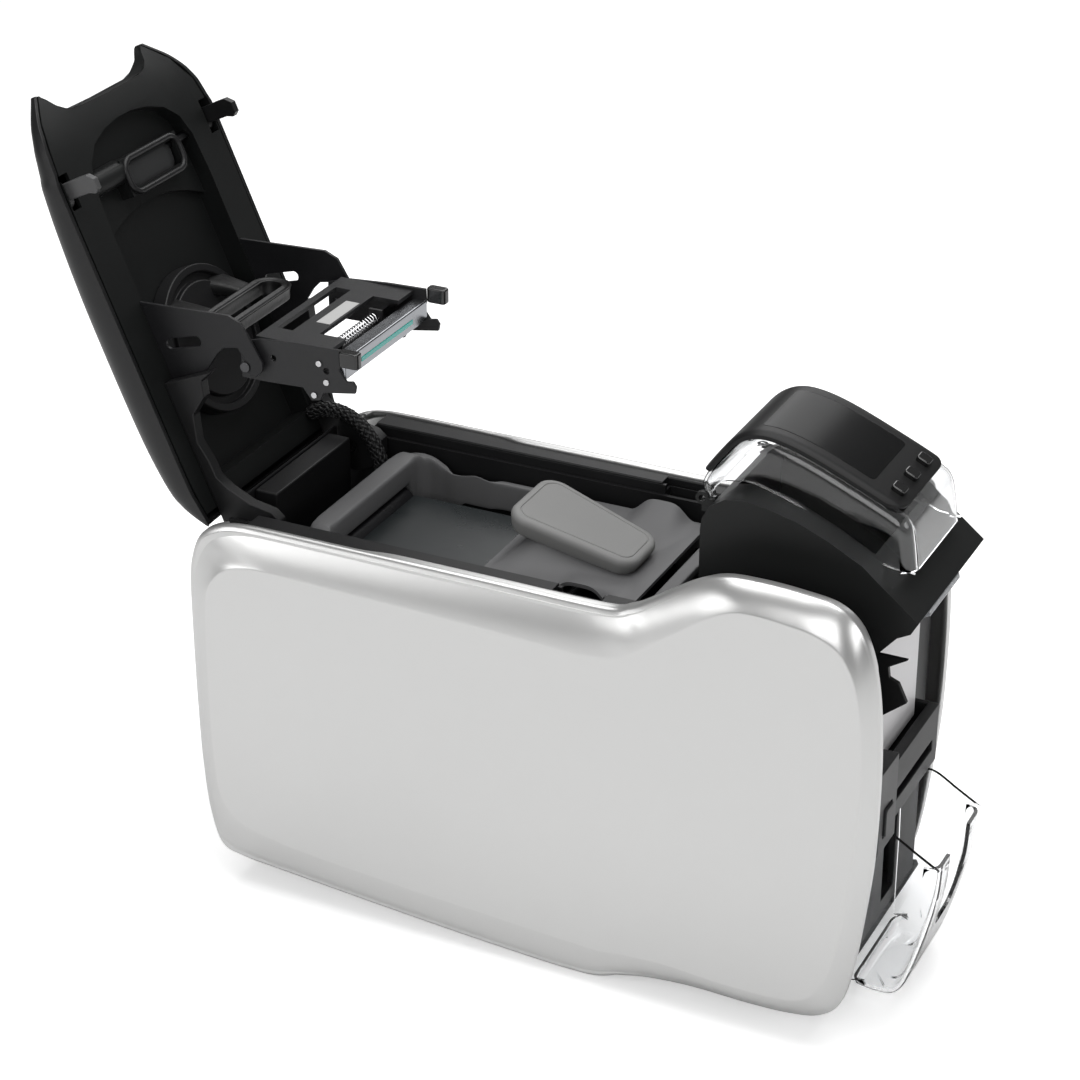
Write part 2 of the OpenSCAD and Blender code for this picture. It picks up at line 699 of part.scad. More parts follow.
module hopper_base() {
    placed() color([0.12, 0.12, 0.13]) difference() {
        union() {
            xz_plate(moved(scaled(hopper_shares, hopper_len, hopper_rise), [hopper_x, hopper_low]),
                -hopper_half, 2 * hopper_half);
            block([hopper_x, -frame_in, hopper_low],
                [hopper_x + hopper_flange_long, frame_in, hopper_low + hopper_flange]);
            for (s = [0, 1]) mirror([0, s, 0]) {
                y_bar(cover_pin_at, 2 * cover_ear_r, -cover_ear_y - cover_ear, -cover_ear_y);
                block([cover_pin_at[0], -cover_ear_y - cover_ear, cover_pin_at[1] - 2 * cover_ear_r],
                    [hopper_x + cover_ear, -cover_ear_y, cover_pin_at[1]]);
            }
        }
        block([hopper_x + hopper_back, -hopper_in_half, hopper_low + hopper_floor],
            [hopper_x + hopper_deep, hopper_in_half, hopper_low + hopper_rise + over]);
        block([hopper_x + hopper_drop_x, -hopper_in_half, hopper_low - over],
            [hopper_x + hopper_deep, hopper_in_half, hopper_low + hopper_rise + over]);
        y_bar(cover_pin_at, cover_pin_d + 2 * run_gap, -cover_ear_y - cover_ear - over,
            cover_ear_y + cover_ear + over);
        xz_plate(inward(cover_outer, seat_gap), -cover_half - seat_gap, 2 * (cover_half + seat_gap));
    }
}
strip_half = 20;
strip_shares = [[0.912, 0.250], [0.972, 0.300], [0.980, 0.260], [0.920, 0.210]];
module light_strip() {
    placed() color([0.8, 0.82, 0.83, 0.6])
        xz_plate(moved(scaled(strip_shares, hopper_len, hopper_rise), [hopper_x, hopper_low]),
            -strip_half, 2 * strip_half);
}

// Clear hopper cover with the display on top. Shares run over the outside, back to front.
cover_long = 100;
cover_high = 48;
cover_back = 6;
cover_x = hopper_x - cover_back;
cover_up = 41;
cover_low = hopper_low + cover_up;
cover_top_shares = [
    [0.012, 0.320], [0.000, 0.477], [0.085, 0.750], [0.155, 0.917], [0.235, 1.000], [0.335, 1.000],
    [0.480, 0.917], [0.698, 0.729], [0.895, 0.537], [0.952, 0.435], [0.975, 0.250], [0.992, 0.000]
];
cover_edge_shares = [
    [0.867, 0.021], [0.777, 0.104], [0.647, 0.250], [0.447, 0.438], [0.247, 0.562], [0.172, 0.552],
        [0.100, 0.510]
];
cover_top = moved(scaled(cover_top_shares, cover_long, cover_high), [cover_x, cover_low]);
cover_edge = moved(scaled(cover_edge_shares, cover_long, cover_high), [cover_x, cover_low]);
cover_n = len(cover_top);
cover_outer = concat(cover_top, cover_edge);
cover_inset = inward(cover_outer, -cover_wall);
pin_lug = 4;
module hopper_cover() {
    placed() color([0.75, 0.77, 0.8, 0.35]) {
        difference() {
            xz_plate(cover_outer, -cover_half, 2 * cover_half);
            xz_plate(concat([cover_inset[0] - [0, cover_high]],
                [for (i = [0 : cover_n - 1]) cover_inset[i]],
                [cover_inset[cover_n - 1] - [0, cover_high]]), -cover_half + cover_wall,
                    2 * (cover_half - cover_wall));
        }
        y_bar(cover_pin_at, cover_pin_d, -cover_ear_y - cover_ear, cover_ear_y + cover_ear);
        xz_plate([cover_pin_at - [cover_pin_d / 2, 0], cover_pin_at + [cover_pin_d / 2, 0],
            [cover_top[0][0] + cover_wall, cover_top[0][1] + pin_lug],
                [cover_top[0][0], cover_top[0][1] + pin_lug]],
            -cover_half, 2 * cover_half);
    }
}
bezel_t = 2.4;
display_from = 0.09;
display_to = 0.9;
display_half = 28.5;
screen_from = 0.25;
screen_to = 0.745;
screen_half = 21;
screen_t = 0.8;
// Points along the cover's top between two shares of its length, lifted by d
function cover_spot(share, d) = let (x = cover_x + share * cover_long) [x, lookup(x, cover_top) + d];
function cover_line(from, to, d) = concat([cover_spot(from, d)],
    [for (p = cover_top)
        if (p[0] > cover_x + from * cover_long && p[0] < cover_x + to * cover_long) p + [0, d]],
    [cover_spot(to, d)]);
button_share = 0.84;
slope_from = 7;
slope_line = cover_top[slope_from + 1] - cover_top[slope_from];
button_slope = -atan2(slope_line[1], slope_line[0]);
button_at = cover_spot(button_share, 0);
button_pitch = 15.8;
button_t = 3.4;
button_under = 0.9;
button_r = 1.5;
module on_button(k) {
    translate([button_at[0], k * button_pitch, button_at[1]]) rotate([0, button_slope, 0]) children();
}
module display_bezel() {
    placed() color([0.16, 0.16, 0.17]) difference() {
        xz_plate(concat(cover_line(display_from, display_to, bezel_t),
            backwards(cover_line(display_from, display_to, 0))),
            -display_half, 2 * display_half);
        xz_plate(concat(cover_line(screen_from, screen_to, bezel_t + over),
            backwards(cover_line(screen_from, screen_to, bezel_t - screen_t))), -screen_half,
                2 * screen_half);
        for (k = [-1, 0, 1]) on_button(k) translate([0, 0, -over / 2])
            round_plate(menu_button + 2 * seat_gap, menu_button + 2 * seat_gap, 2 * bezel_t + over,
                button_r);
    }
}
module display_screen() {
    placed() color([0.03, 0.03, 0.035]) xz_plate(concat(cover_line(screen_from, screen_to, bezel_t),
        backwards(cover_line(screen_from, screen_to, bezel_t - screen_t))), -screen_half,
            2 * screen_half);
}
module menu_button_at(k) {
    placed() color([0.02, 0.02, 0.02]) on_button(k) translate([0, 0, button_under])
        round_plate(menu_button, menu_button, button_t, button_r);
}
module menu_button_near() {
    menu_button_at(-1);
}
module menu_button_middle() {
    menu_button_at(0);
}
module menu_button_far() {
    menu_button_at(1);
}

// Clear output bin
bin_x = max(front_x + front_t, skin_low[tray_last][0], skin_top[tray_last][0]) + seat_gap;
bin_shares = [
    [0.00, 0.06], [0.06, 0.01], [0.42, 0.00], [0.58, 0.04], [0.70, 0.16], [0.86, 0.41], [0.97, 0.65],
    [1.00, 0.85], [0.40, 1.00], [0.00, 1.00]
];
notch_half = 14;
notch_low_share = 0.36;
module output_bin() {
    outer = moved(scaled(bin_shares, bin_out, bin_h), [bin_x, bin_floor]);
    inner = inward(outer, bin_wall);
    placed() color([0.8, 0.82, 0.84, 0.3]) difference() {
        xz_plate(outer, -bin_half, 2 * bin_half);
        xz_plate(concat([inner[0] - [bin_out / 2, 0]], [for (i = [0 : 6]) inner[i]],
            [inner[7] + [0, bin_h]],
            [[bin_x - bin_out / 2, 2 * bin_h]]), -bin_half + bin_wall, 2 * (bin_half - bin_wall));
        block([bin_x + bin_out / 2, -notch_half, bin_floor + notch_low_share * bin_h],
            [bin_x + bin_out + over, notch_half, bin_floor + bin_h + over]);
    }
}

// Lid shell. Top shares give the crown line, low shares the lift of the edge, and half
// shares the width, all against the distance from the hinge.
lid_gap = 1;
lid_edge = hinge_drop + lid_gap;
lid_top_shares = [
    [0.035, 0.105], [0.041, 0.246], [0.060, 0.491], [0.092, 0.719], [0.138, 0.860], [0.221, 0.965],
    [0.313, 1.000], [0.452, 1.000], [0.590, 0.965], [0.728, 0.860], [0.820, 0.737], [0.889, 0.625],
    [0.949, 0.572], [1.000, 0.561]
];
lid_low_shares = [[0.000, 0.00], [0.840, 0.00], [0.880, 0.02], [0.920, 0.08], [0.960, 0.19],
    [1.000, 0.33]];
lid_half_shares = [
    [0.035, 0.950], [0.055, 0.958], [0.092, 0.980], [0.157, 1.000], [0.806, 1.000], [0.830, 0.986],
    [0.862, 0.970], [0.899, 0.940], [0.949, 0.848], [1.000, 0.680]
];
lid_front_shares = [
    [0.00, 0.945], [0.50, 0.947], [0.62, 0.954], [0.78, 0.972], [0.90, 0.991], [0.96, 1.000],
        [1.00, 1.000]
];
lid_tops = scaled(lid_top_shares, lid_reach, lid_rise);
lid_lows = scaled(lid_low_shares, lid_reach, lid_rise);
lid_halves = scaled(lid_half_shares, lid_reach, lid_half);
lid_back = lid_tops[0][0];
lid_tops_n = len(lid_tops);
lid_in_line = inward(concat([[lid_back, 0]], lid_tops, [[lid_reach, 0]]), -lid_wall);
lid_tops_in = [for (i = [1 : lid_tops_n]) lid_in_line[i]];
function lid_low(x) = lid_edge + lookup(x, lid_lows);
function lid_front(s) = lid_reach * lookup(abs(s), lid_front_shares);
function round_y(a) = sign(a) * pow(abs(sin(a)), 2 / lid_round);
function round_z(a) = pow(abs(cos(a)), 2 / lid_round);
lid_round = 3.2;
lid_cols = 20;
function lid_point(f, a, from, thick, tops) =
    let (s = round_y(a), x = from + f * (lid_front(s) - from))
    [x, s * (lookup(x, lid_halves) - thick),
        lid_low(x) + (lid_edge + lookup(x, tops) - lid_low(x)) * round_z(a)];
lid_stations = [for (p = lid_tops) (p[0] - lid_back) / (lid_reach - lid_back)];
lid_angles = [for (j = [0 : lid_cols]) 180 * j / lid_cols - 90];
lid_outer = [for (f = lid_stations) [for (a = lid_angles) lid_point(f, a, lid_back, 0, lid_tops)]];
lid_inner = [for (f = lid_stations) [for (a = lid_angles) lid_point(f, a, lid_back + lid_wall, lid_wall,
    lid_tops_in)]];
module lid_shell() {
    placed() color([0.06, 0.06, 0.065]) on_lid() grid_shell(lid_outer, lid_inner);
}

// Lid liner: a flange round the edge, a tub for the recess, a front wall and a grip pod
liner_t = 2;
liner_gap = 0.8;
liner_back = 13;
liner_cols = 16;
recess_shares = [
    [0.110, 0.650], [0.691, 0.650], [0.783, 0.627], [0.829, 0.566], [0.862, 0.444], [0.880, 0.275],
        [0.889, 0.092]
];
recess_half = scaled(recess_shares, lid_reach, lid_half);
recess_plan = mirrored(recess_half);
tub_wall = 2;
tub_deep = 13.2;
tub_top = lid_edge + tub_deep;
step_deep = 8;
step_r = 91.5;
step_x = 60;
pod_shares = [[0.7235, -0.258], [0.8065, 0.4545]];
pod_from = scaled(pod_shares, lid_reach, lid_half)[0];
pod_to = scaled(pod_shares, lid_reach, lid_half)[1];
pod_low = 1;
pod_rim = 3;
pod_deep = 7;
latch_h = 5;
shaft_hole = 0.6;
latch_at = [hook_x, lid_edge + latch_h];
latch_shaft_d = 4;
sleeve_d = 12;
hook_slot_back = 5;
hook_slot_long = 17;
function liner_x(f, s) = liner_back + f * (lid_front(s) - seat_gap - liner_back);
function liner_point(f, s, up) = let (x = liner_x(f, s))
    [x, s * (lookup(x, lid_halves) - lid_wall - liner_gap), lid_low(x) + up];
liner_rows = [for (p = lid_tops) max(0, (p[0] - liner_back) / (lid_reach - liner_back))];
liner_stations = [for (i = [2 : lid_tops_n - 1]) i == 2 ? 0 : liner_rows[i]];
function wall_point(a, k, back) = let (s = round_y(a), x = lid_front(s) - seat_gap,
    low = lid_low(x) + liner_t / 2, high = lid_low(x) + (lid_edge + lookup(x,
        lid_tops_in) - lid_low(x)) * round_z(a) - seat_gap)
    [x - back, s * (lookup(x, lid_halves) - lid_wall - liner_gap), low + k * (high - low)];
wall_cols = 12;
wall_angle = 68;
wall_angles = [for (j = [0 : wall_cols]) wall_angle * (2 * j / wall_cols - 1)];
module lid_liner() {
    placed() color([0.05, 0.05, 0.055]) on_lid() difference() {
        union() {
            difference() {
                grid_shell([for (f = liner_stations) [for (j = [0 : liner_cols]) liner_point(f,
                    2 * j / liner_cols - 1, liner_t)]],
                    [for (f = liner_stations) [for (j = [0 : liner_cols]) liner_point(f,
                        2 * j / liner_cols - 1, 0)]]);
                translate([0, 0, lid_edge - over])
                    linear_extrude(height = 3 * liner_t + over) polygon(recess_plan);
                for (s = [-1, 1]) block([hook_x - hook_slot_back, min(s * slot_in_y, s * slot_out_y),
                    lid_edge - over],
                    [hook_x - hook_slot_back + hook_slot_long, max(s * slot_in_y, s * slot_out_y),
                        lid_edge + 2 * liner_t]);
            }
            grid_shell([for (k = [0, 1]) [for (a = wall_angles) wall_point(a, k, tub_wall)]],
                [for (k = [0, 1]) [for (a = wall_angles) wall_point(a, k, 0)]]);
            difference() {
                translate([0, 0, lid_edge + liner_t - seat_gap])
                    linear_extrude(height = tub_deep - liner_t + seat_gap)
                    polygon(inward(recess_plan, tub_wall));
                translate([0, 0, lid_edge - over])
                    linear_extrude(height = tub_deep - tub_wall + over) polygon(recess_plan);
            }
            difference() {
                translate([0, 0, lid_edge + step_deep])
                    linear_extrude(height = tub_deep - step_deep - over) polygon(recess_plan);
                translate([step_x, 0, lid_edge]) cylinder(r = step_r, h = tub_deep, $fn = 96);
            }
            difference() {
                block([pod_from[0], pod_from[1], lid_edge + pod_low],
                    [pod_to[0], pod_to[1], tub_top - over]);
                block([pod_from[0] + pod_rim, pod_from[1] + pod_rim, lid_edge - over],
                    [pod_to[0] - pod_rim, pod_to[1] - pod_rim, lid_edge + pod_low + pod_deep]);
            }
            y_bar(latch_at + [0, over], sleeve_d, -recess_half[1][1] + tub_wall, pod_from[1] + over);
        }
        y_bar(latch_at, latch_shaft_d + shaft_hole, -lid_half, lid_half);
    }
}

// Round housing in the roof of the lid
spool_cover_r = 36;
spool_cover_at = [80, 0];
spool_cover_low = 15;
spool_ring = 4;
module lid_spool_cover() {
    placed() color([0.12, 0.12, 0.13]) on_lid() translate([spool_cover_at[0], spool_cover_at[1],
        spool_cover_low]) difference() {
        cylinder(r = spool_cover_r, h = tub_top - tub_wall - spool_cover_low, $fn = 96);
        translate([0, 0, -over]) difference() {
            cylinder(r = spool_cover_r - spool_ring, h = spool_ring, $fn = 96);
            cylinder(r = spool_cover_r - 2 * spool_ring, h = spool_ring, $fn = 96);
        }
    }
}

// Curved arms that carry the lid on its hinge pins
arm_in = 46;
arm_t = 6;
arm_unit = 100;
arm_shares = [
    [0.760, 0.000], [0.755, -0.282], [0.726, -0.205], [0.647, -0.182], [0.582, -0.087], [0.450, -0.045],
    [0.350, -0.065], [0.267, -0.068], [0.203, -0.104], [0.108, -0.187], [0.044, -0.284], [-0.006, -0.309],
    [-0.080, -0.275], [-0.125, -0.195], [-0.130, -0.105], [-0.090, -0.035], [-0.030, 0.000]
];
module lid_arm() {
    color([0.1, 0.1, 0.105]) on_lid() difference() {
        xz_plate(moved(scaled(arm_shares, arm_unit, arm_unit), [0, lid_edge]), -arm_in - arm_t, arm_t);
        y_bar([0, 0], hinge_pin_d + 2 * run_gap, -arm_in - arm_t - over, -arm_in + over);
    }
}
module lid_arm_near() {
    placed() lid_arm();
}
module lid_arm_far() {
    placed() copy_far() lid_arm();
}

// Bracket plates that hang the print head under the lid
bracket_unit = 100;
bracket_shares = [
    [1.145, 0.420], [0.973, -0.020], [0.919, -0.070], [0.719, -0.098], [0.681, -0.079], [0.664, -0.032],
    [0.677, 0.000], [0.760, -0.010], [0.817, 0.000], [0.833, 0.075], [0.812, 0.125], [0.710, 0.274],
    [0.711, 0.332], [0.705, 0.420]
];
bracket_slot_shares = [[0.917, 0.344], [0.896, 0.205]];
bracket_slot_d = 5;
pivot_d = 5;
bracket_top_share = 0.42;
bracket_base = lid_edge - bracket_top_share * bracket_unit;
bracket_y = bracket_gap / 2;
module head_bracket() {
    color([0.2, 0.2, 0.21]) on_lid() difference() {
        xz_plate(moved(scaled(bracket_shares, bracket_unit, bracket_unit), [0, bracket_base]),
            -bracket_y - bracket_t, bracket_t);
        y_bar(head_pivot, pivot_d, -bracket_y - bracket_t - over, -bracket_y + over);
        for (p = moved(scaled(bracket_slot_shares, bracket_unit, bracket_unit), [0, bracket_base]))
            y_bar(p, bracket_slot_d, -bracket_y - bracket_t - over, -bracket_y + over);
        xz_plate(let (p = moved(scaled(bracket_slot_shares, bracket_unit, bracket_unit),
            [0, bracket_base]),
            w = [bracket_slot_d / 2, 0]) [p[0] - w, p[1] - w, p[1] + w, p[0] + w],
                -bracket_y - bracket_t - over, bracket_t + 2 * over);
    }
}
module head_bracket_near() {
    placed() head_bracket();
}
module head_bracket_far() {
    placed() copy_far() head_bracket();
}
module head_pivot_pins() {
    placed() color([0.75, 0.75, 0.76]) on_lid() for (s = [0, 1]) mirror([0, s, 0])
        y_bar(head_pivot, pivot_d, -bracket_y - bracket_t - screw_h / 2, -head_y + over);
}

// Rubber cable loop between the head and the round housing
loop_at = [-26.4, 7.4];
loop_long = 20;
loop_wide = 64;
loop_t = 7;
loop_band = 4.5;
loop_r = 9;
loop_stem = 22;
loop_stem_w = 12;
module cable_loop() {
    placed() color([0.14, 0.14, 0.145]) difference() {
        on_head() translate([loop_at[0], 0, loop_at[1] - loop_t / 2]) {
            difference() {
                round_plate(loop_long, loop_wide, loop_t, loop_r);
                translate([0, 0, -over]) round_plate(loop_long - 2 * loop_band,
                    loop_wide - 2 * loop_band, loop_t + 2 * over,
                    loop_r - loop_band);
            }
            for (s = [-1, 1]) translate([-loop_long / 2 - loop_stem / 2 + over, s * loop_wide / 4,
                loop_t / 2])
                cube([loop_stem, loop_stem_w, loop_t], center = true);
        }
        on_lid() translate([0, -lid_half, spool_cover_low]) cube([lid_reach, 2 * lid_half, tub_deep * 2]);
    }
}

// Latch: two hooks on one shaft
hook_shares = [
    [0.00, 0.00], [0.02, -0.74], [-0.03, -0.90], [0.05, -1.00], [0.28, -1.00], [0.41, -0.84],
        [0.40, -0.55], [0.36, 0.00]
];
hook_unit = 21.5;
hook_hub = 8;
module latch_hooks() {
    placed() color([0.35, 0.35, 0.36]) on_lid() for (s = [0, 1]) mirror([0, s, 0]) difference() {
        union() {
            y_bar(latch_at, hook_hub, -latch_y - latch_t / 2, -latch_y + latch_t / 2);
            xz_plate(moved(scaled(hook_shares, hook_unit, hook_unit), latch_at), -latch_y - latch_t / 2,
                latch_t);
        }
        y_bar(latch_at, latch_shaft_d, -latch_y - latch_t, -latch_y + latch_t);
    }
}
module latch_shaft() {
    placed() color([0.6, 0.6, 0.61]) on_lid()
        y_bar(latch_at, latch_shaft_d, -latch_y - latch_t / 2, latch_y + latch_t / 2);
}

// Print head
head_y = head_gap / 2;
head_unit = 50;
head_shares = [
    [-0.088, -0.146], [0.188, -0.146], [0.552, -0.130], [0.638, -0.242], [0.728, -0.224], [0.766, -0.142],
    [1.092, -0.088], [1.104, -0.022], [1.072, 0.024], [1.006, 0.012], [0.932, 0.114], [0.966, 0.164],
    [0.960, 0.310], [0.570, 0.300], [0.116, 0.268], [-0.088, 0.200]
];
head_hole_shares = [[0.250, 0.102], [0.802, 0.080]];
head_hole_d = 3;
module head_plate() {
    color([0.22, 0.22, 0.23]) on_head() difference() {
        xz_plate(scaled(head_shares, head_unit, head_unit), -head_y - head_plate_t, head_plate_t);
        y_bar([0, 0], pivot_d + 2 * run_gap, -head_y - head_plate_t - over, -head_y + over);
        for (p = scaled(head_hole_shares, head_unit, head_unit))
            y_bar(p, head_hole_d, -head_y - head_plate_t - over, -head_y + over);
    }
}
module head_plate_near() {
    placed() head_plate();
}
module head_plate_far() {
    placed() copy_far() head_plate();
}
head_screw_shares = [[0.732, 0.144], [0.804, -0.028], [0.672, -0.178]];
head_screw_d = 3;
head_screw_h = 0.9;
module head_screws() {
    placed() color([0.8, 0.8, 0.8]) on_head() for (s = [0, 1],
        p = scaled(head_screw_shares, head_unit, head_unit))
        mirror([0, s, 0]) y_bar(p, head_screw_d, -head_y - head_plate_t - head_screw_h,
            -head_y - head_plate_t);
}
bridge_top = 14;
bridge_t = 2;
bridge_from = 3;
bar_long = 7.5;
bar_low = 0.4;
bar_h = 10;
bridge_to = head_face - bar_long;
slot_a_from = 7;
slot_a_to = 15;
slot_a_half = 27;
window_from = 28;
window_half = 25;
tray_low = 2;
tray_plate = 1.5;
lug_t = 1.5;
lug_w = 7;
spring_x = 34;
spring_z = 8;
spring_y = -20;
spring_long = 36;
module head_bridge() {
    placed() color([0.17, 0.17, 0.18]) on_head() {
        difference() {
            block([bridge_from, -head_y, bridge_top - bridge_t], [bridge_to, head_y, bridge_top]);
            block([slot_a_from, -slot_a_half, bridge_top - bridge_t - over],
                [slot_a_to, slot_a_half, bridge_top + over]);
            block([window_from, -window_half, bridge_top - bridge_t - over],
                [bridge_to + over, window_half, bridge_top + over]);
        }
        block([window_from, -head_y, tray_low], [bridge_to, head_y, tray_low + tray_plate]);
        for (y = [spring_y - lug_t, spring_y + spring_long])
            block([spring_x - lug_w / 2, y, tray_low + tray_plate / 2],
                [spring_x + lug_w / 2, y + lug_t, spring_z + lug_w / 2]);
    }
}
module head_bar() {
    placed() color([0.75, 0.76, 0.78]) on_head()
        block([bridge_to, -head_y, bar_low], [head_face, head_y, bar_low + bar_h]);
}
print_strip_t = 0.3;
print_strip_h = 2;
module print_strip() {
    placed() color([0.1, 0.6, 0.5]) on_head()
        block([head_face, -print_line / 2, head_mid - print_strip_h / 2],
            [head_face + print_strip_t, print_line / 2, head_mid + print_strip_h / 2]);
}
knob_x = 48;
knob_long = 10;
knob_low = 8.9;
knob_h = 7.5;
knob_w = 5.4;
module head_knobs() {
    placed() color([0.05, 0.05, 0.05]) on_head() for (s = [0, 1]) mirror([0, s, 0])
        translate([knob_x + knob_long / 2 + seat_gap, -head_y - knob_w / 2,
            knob_low]) round_plate(knob_long, knob_w, knob_h, knob_w / 3);
}
label_t = 0.2;
label_long = 28;
label_w = 7;
label_gap = 1;
small_label_w = 3.6;
small_label_long = 20;
small_label_y = -18;
module head_label() {
    placed() color([0.85, 0.85, 0.85]) on_head() {
        block([window_from - label_gap - label_w, -label_long / 2, bridge_top],
            [window_from - label_gap, label_long / 2, bridge_top + label_t]);
        block([bridge_to - small_label_w, small_label_y, tray_low + tray_plate],
            [bridge_to, small_label_y + small_label_long, tray_low + tray_plate + label_t]);
    }
}
// The coil spring is one tube: a short run along Y, the turns, and a short run out
spring_r = (spring_d - spring_wire) / 2;
coil_steps = 8;
coil_sides = 6;
coil_n = spring_turns * coil_steps;
coil_from = spring_y + spring_wire;
coil_long = spring_long - 2 * spring_wire;
function coil_point(i) = let (a = 360 * i / coil_steps)
    [spring_r * cos(a), coil_from + coil_long * i / coil_n, spring_r * sin(a)];
coil_path = concat([[spring_r, spring_y, 0]], [for (i = [0 : coil_n]) coil_point(i)],
    [[spring_r, spring_y + spring_long, 0]]);
function coil_ring(i) = let (c = coil_path[i], n = [c[0], 0, c[2]] / norm([c[0], 0, c[2]]),
    t = i == 0 || i == len(coil_path) - 1 ? [0, 1,
        0] : (coil_path[i + 1] - coil_path[i - 1]) / norm(coil_path[i + 1] - coil_path[i - 1]),
    b = cross(t, n)) [for (k = [0 : coil_sides - 1]) let (a = 360 * k / coil_sides)
        c + spring_wire / 2 * (n * cos(a) + b * sin(a))];
coil_skip = 6;
coil_gaps = [for (i = [0 : coil_n - coil_skip]) for (j = [i + coil_skip : coil_n])
    norm(coil_point(i) - coil_point(j))];
coil_gap = min(coil_gaps) - spring_wire;
module head_spring() {
    echo(str("coil spring least gap to itself, mm: ", coil_gap));
    placed() color([0.6, 0.6, 0.6]) on_head() translate([spring_x, 0, spring_z])
        ring_skin(backwards([for (i = [0 : len(coil_path) - 1]) coil_ring(i)]));
}

// Ribbon cartridge. Its frame is set out from the hinge, because the head swings through it.
cart_ahead = 27;
cart_up = 4.5;
cartridge_len = lid_reach - cart_ahead - cartridge_gap;
cart_x = hinge_x + cart_ahead;
cart_half = cartridge_w / 2;
cart_top = hinge_z + cart_up;
cart_low = cart_top - cartridge_h;
rail_t = 3.5;
rail_in = cart_half - rail_t;
cross_long = 12;
front_cross = 7;
window_corner = 33;
flare_x = 28;
platform_share = 0.506;
platform_x = platform_share * cartridge_len;
platform_long_share = 0.161;
platform_long = platform_long_share * cartridge_len;
platform_drop = 4;
roll_gap = 0.6;
rear_axle_ahead = 31;
rear_axle = [hinge_x + rear_axle_ahead, cart_low - used_roll_d / 2 - roll_gap];
front_axle_share = 0.7816;
front_axle_ahead = cart_ahead + front_axle_share * cartridge_len;
front_axle_drop = 24;
front_axle = [hinge_x + front_axle_ahead, hinge_z - front_axle_drop];
axle_d = 6;
rail_shares = [
    [0.000, 0.000], [0.070, 0.000], [0.110, -0.055], [0.160, -0.100], [0.175, -0.195], [0.300, -0.195],
    [0.325, -0.105], [0.350, -0.030], [0.420, 0.000], [0.900, -0.010], [1.000, -0.020], [1.000, -0.080],
    [0.930, -0.080], [0.860, -0.200], [0.840, -0.215], [0.730, -0.215], [0.680, -0.150], [0.600, -0.085],
    [0.420, -0.160], [0.330, -0.245], [0.160, -0.245], [0.100, -0.205], [0.080, -0.205], [-0.020, -0.205],
    [-0.025, -0.100]
];
module cartridge_frame() {
    placed() color([0.42, 0.42, 0.43]) difference() {
        union() {
            for (s = [0, 1]) mirror([0, s, 0])
                xz_plate(moved(scaled(rail_shares, cartridge_len, cartridge_len), [cart_x, cart_top]),
                    -cart_half, rail_t);
            block([cart_x, -rail_in, cart_low], [cart_x + cross_long, rail_in, cart_top]);
            for (s = [0, 1]) mirror([0, s, 0]) translate([0, 0,
                cart_low]) linear_extrude(height = cartridge_h)
                polygon([[cart_x + cross_long, -rail_in], [cart_x + flare_x, -rail_in],
                    [cart_x + cross_long, -window_corner]]);
            block([cart_x + platform_x, -rail_in, cart_low],
                [cart_x + platform_x + platform_long, rail_in, cart_top - platform_drop]);
            block([cart_x + cartridge_len - front_cross, -rail_in, cart_low],
                [cart_x + cartridge_len, rail_in, cart_top - platform_drop]);
        }
        for (p = [rear_axle, front_axle]) y_bar(p, axle_d + 2 * run_gap, -cart_half - over,
            cart_half + over);
    }
}
handle_long_share = 0.368;
handle_long = handle_long_share * cartridge_len;
handle_rear_w = 22;
handle_front_w = 17;
handle_t = 10;
handle_r = 9;
handle_slope = 16;
handle_mid_share = 0.7029;
handle_ahead = cart_ahead + handle_mid_share * cartridge_len;
handle_up = 12;
handle_mid = [hinge_x + handle_ahead, hinge_z + handle_up];
neck_in = 2;
neck_long = 24;
neck_half = 15;
neck_up = 4;
module cartridge_handle() {
    placed() color([0.55, 0.55, 0.555]) difference() {
        union() {
            translate([handle_mid[0], 0, handle_mid[1]]) rotate([0, handle_slope, 0]) translate([0, 0,
                -handle_t])
                linear_extrude(height = handle_t) hull() {
                    for (s = [-1, 1]) translate([-handle_long / 2 + handle_r,
                        s * (handle_rear_w - handle_r)]) circle(r = handle_r);
                    for (s = [-1, 1]) translate([handle_long / 2 - handle_r,
                        s * (handle_front_w - handle_r)]) circle(r = handle_r);
                }
            block([cart_x + platform_x + neck_in, -neck_half, cart_top - platform_drop],
                [cart_x + platform_x + neck_in + neck_long, neck_half, cart_top + neck_up]);
        }
    }
}
film_half = 34;
film_t = 0.4;
film_drop = 5;
film_z = cart_low - film_drop;
// Half the width of a roll where the film's height crosses it
function roll_reach(d, at) = sqrt(d * d / 4 - pow(film_z - film_t - at[1], 2));
module ribbon_film() {
    placed() color([0.14, 0.15, 0.15]) block(
        [rear_axle[0] + roll_reach(used_roll_d, rear_axle) + seat_gap, -film_half, film_z - film_t],
        [front_axle[0] - roll_reach(full_roll_d, front_axle) - seat_gap, film_half, film_z]);
}
core_half = 38;
core_d = 9.5;
module spool(at, d) {
    y_bar(at, d, -film_half, film_half);
    y_bar(at, core_d, -core_half, core_half);
    y_bar(at, axle_d, -cart_half, cart_half);
}
module full_spool() {
    placed() color([0.05, 0.05, 0.055]) spool(front_axle, full_roll_d);
}
module used_spool() {
    placed() color([0.05, 0.05, 0.055]) spool(rear_axle, used_roll_d);
}

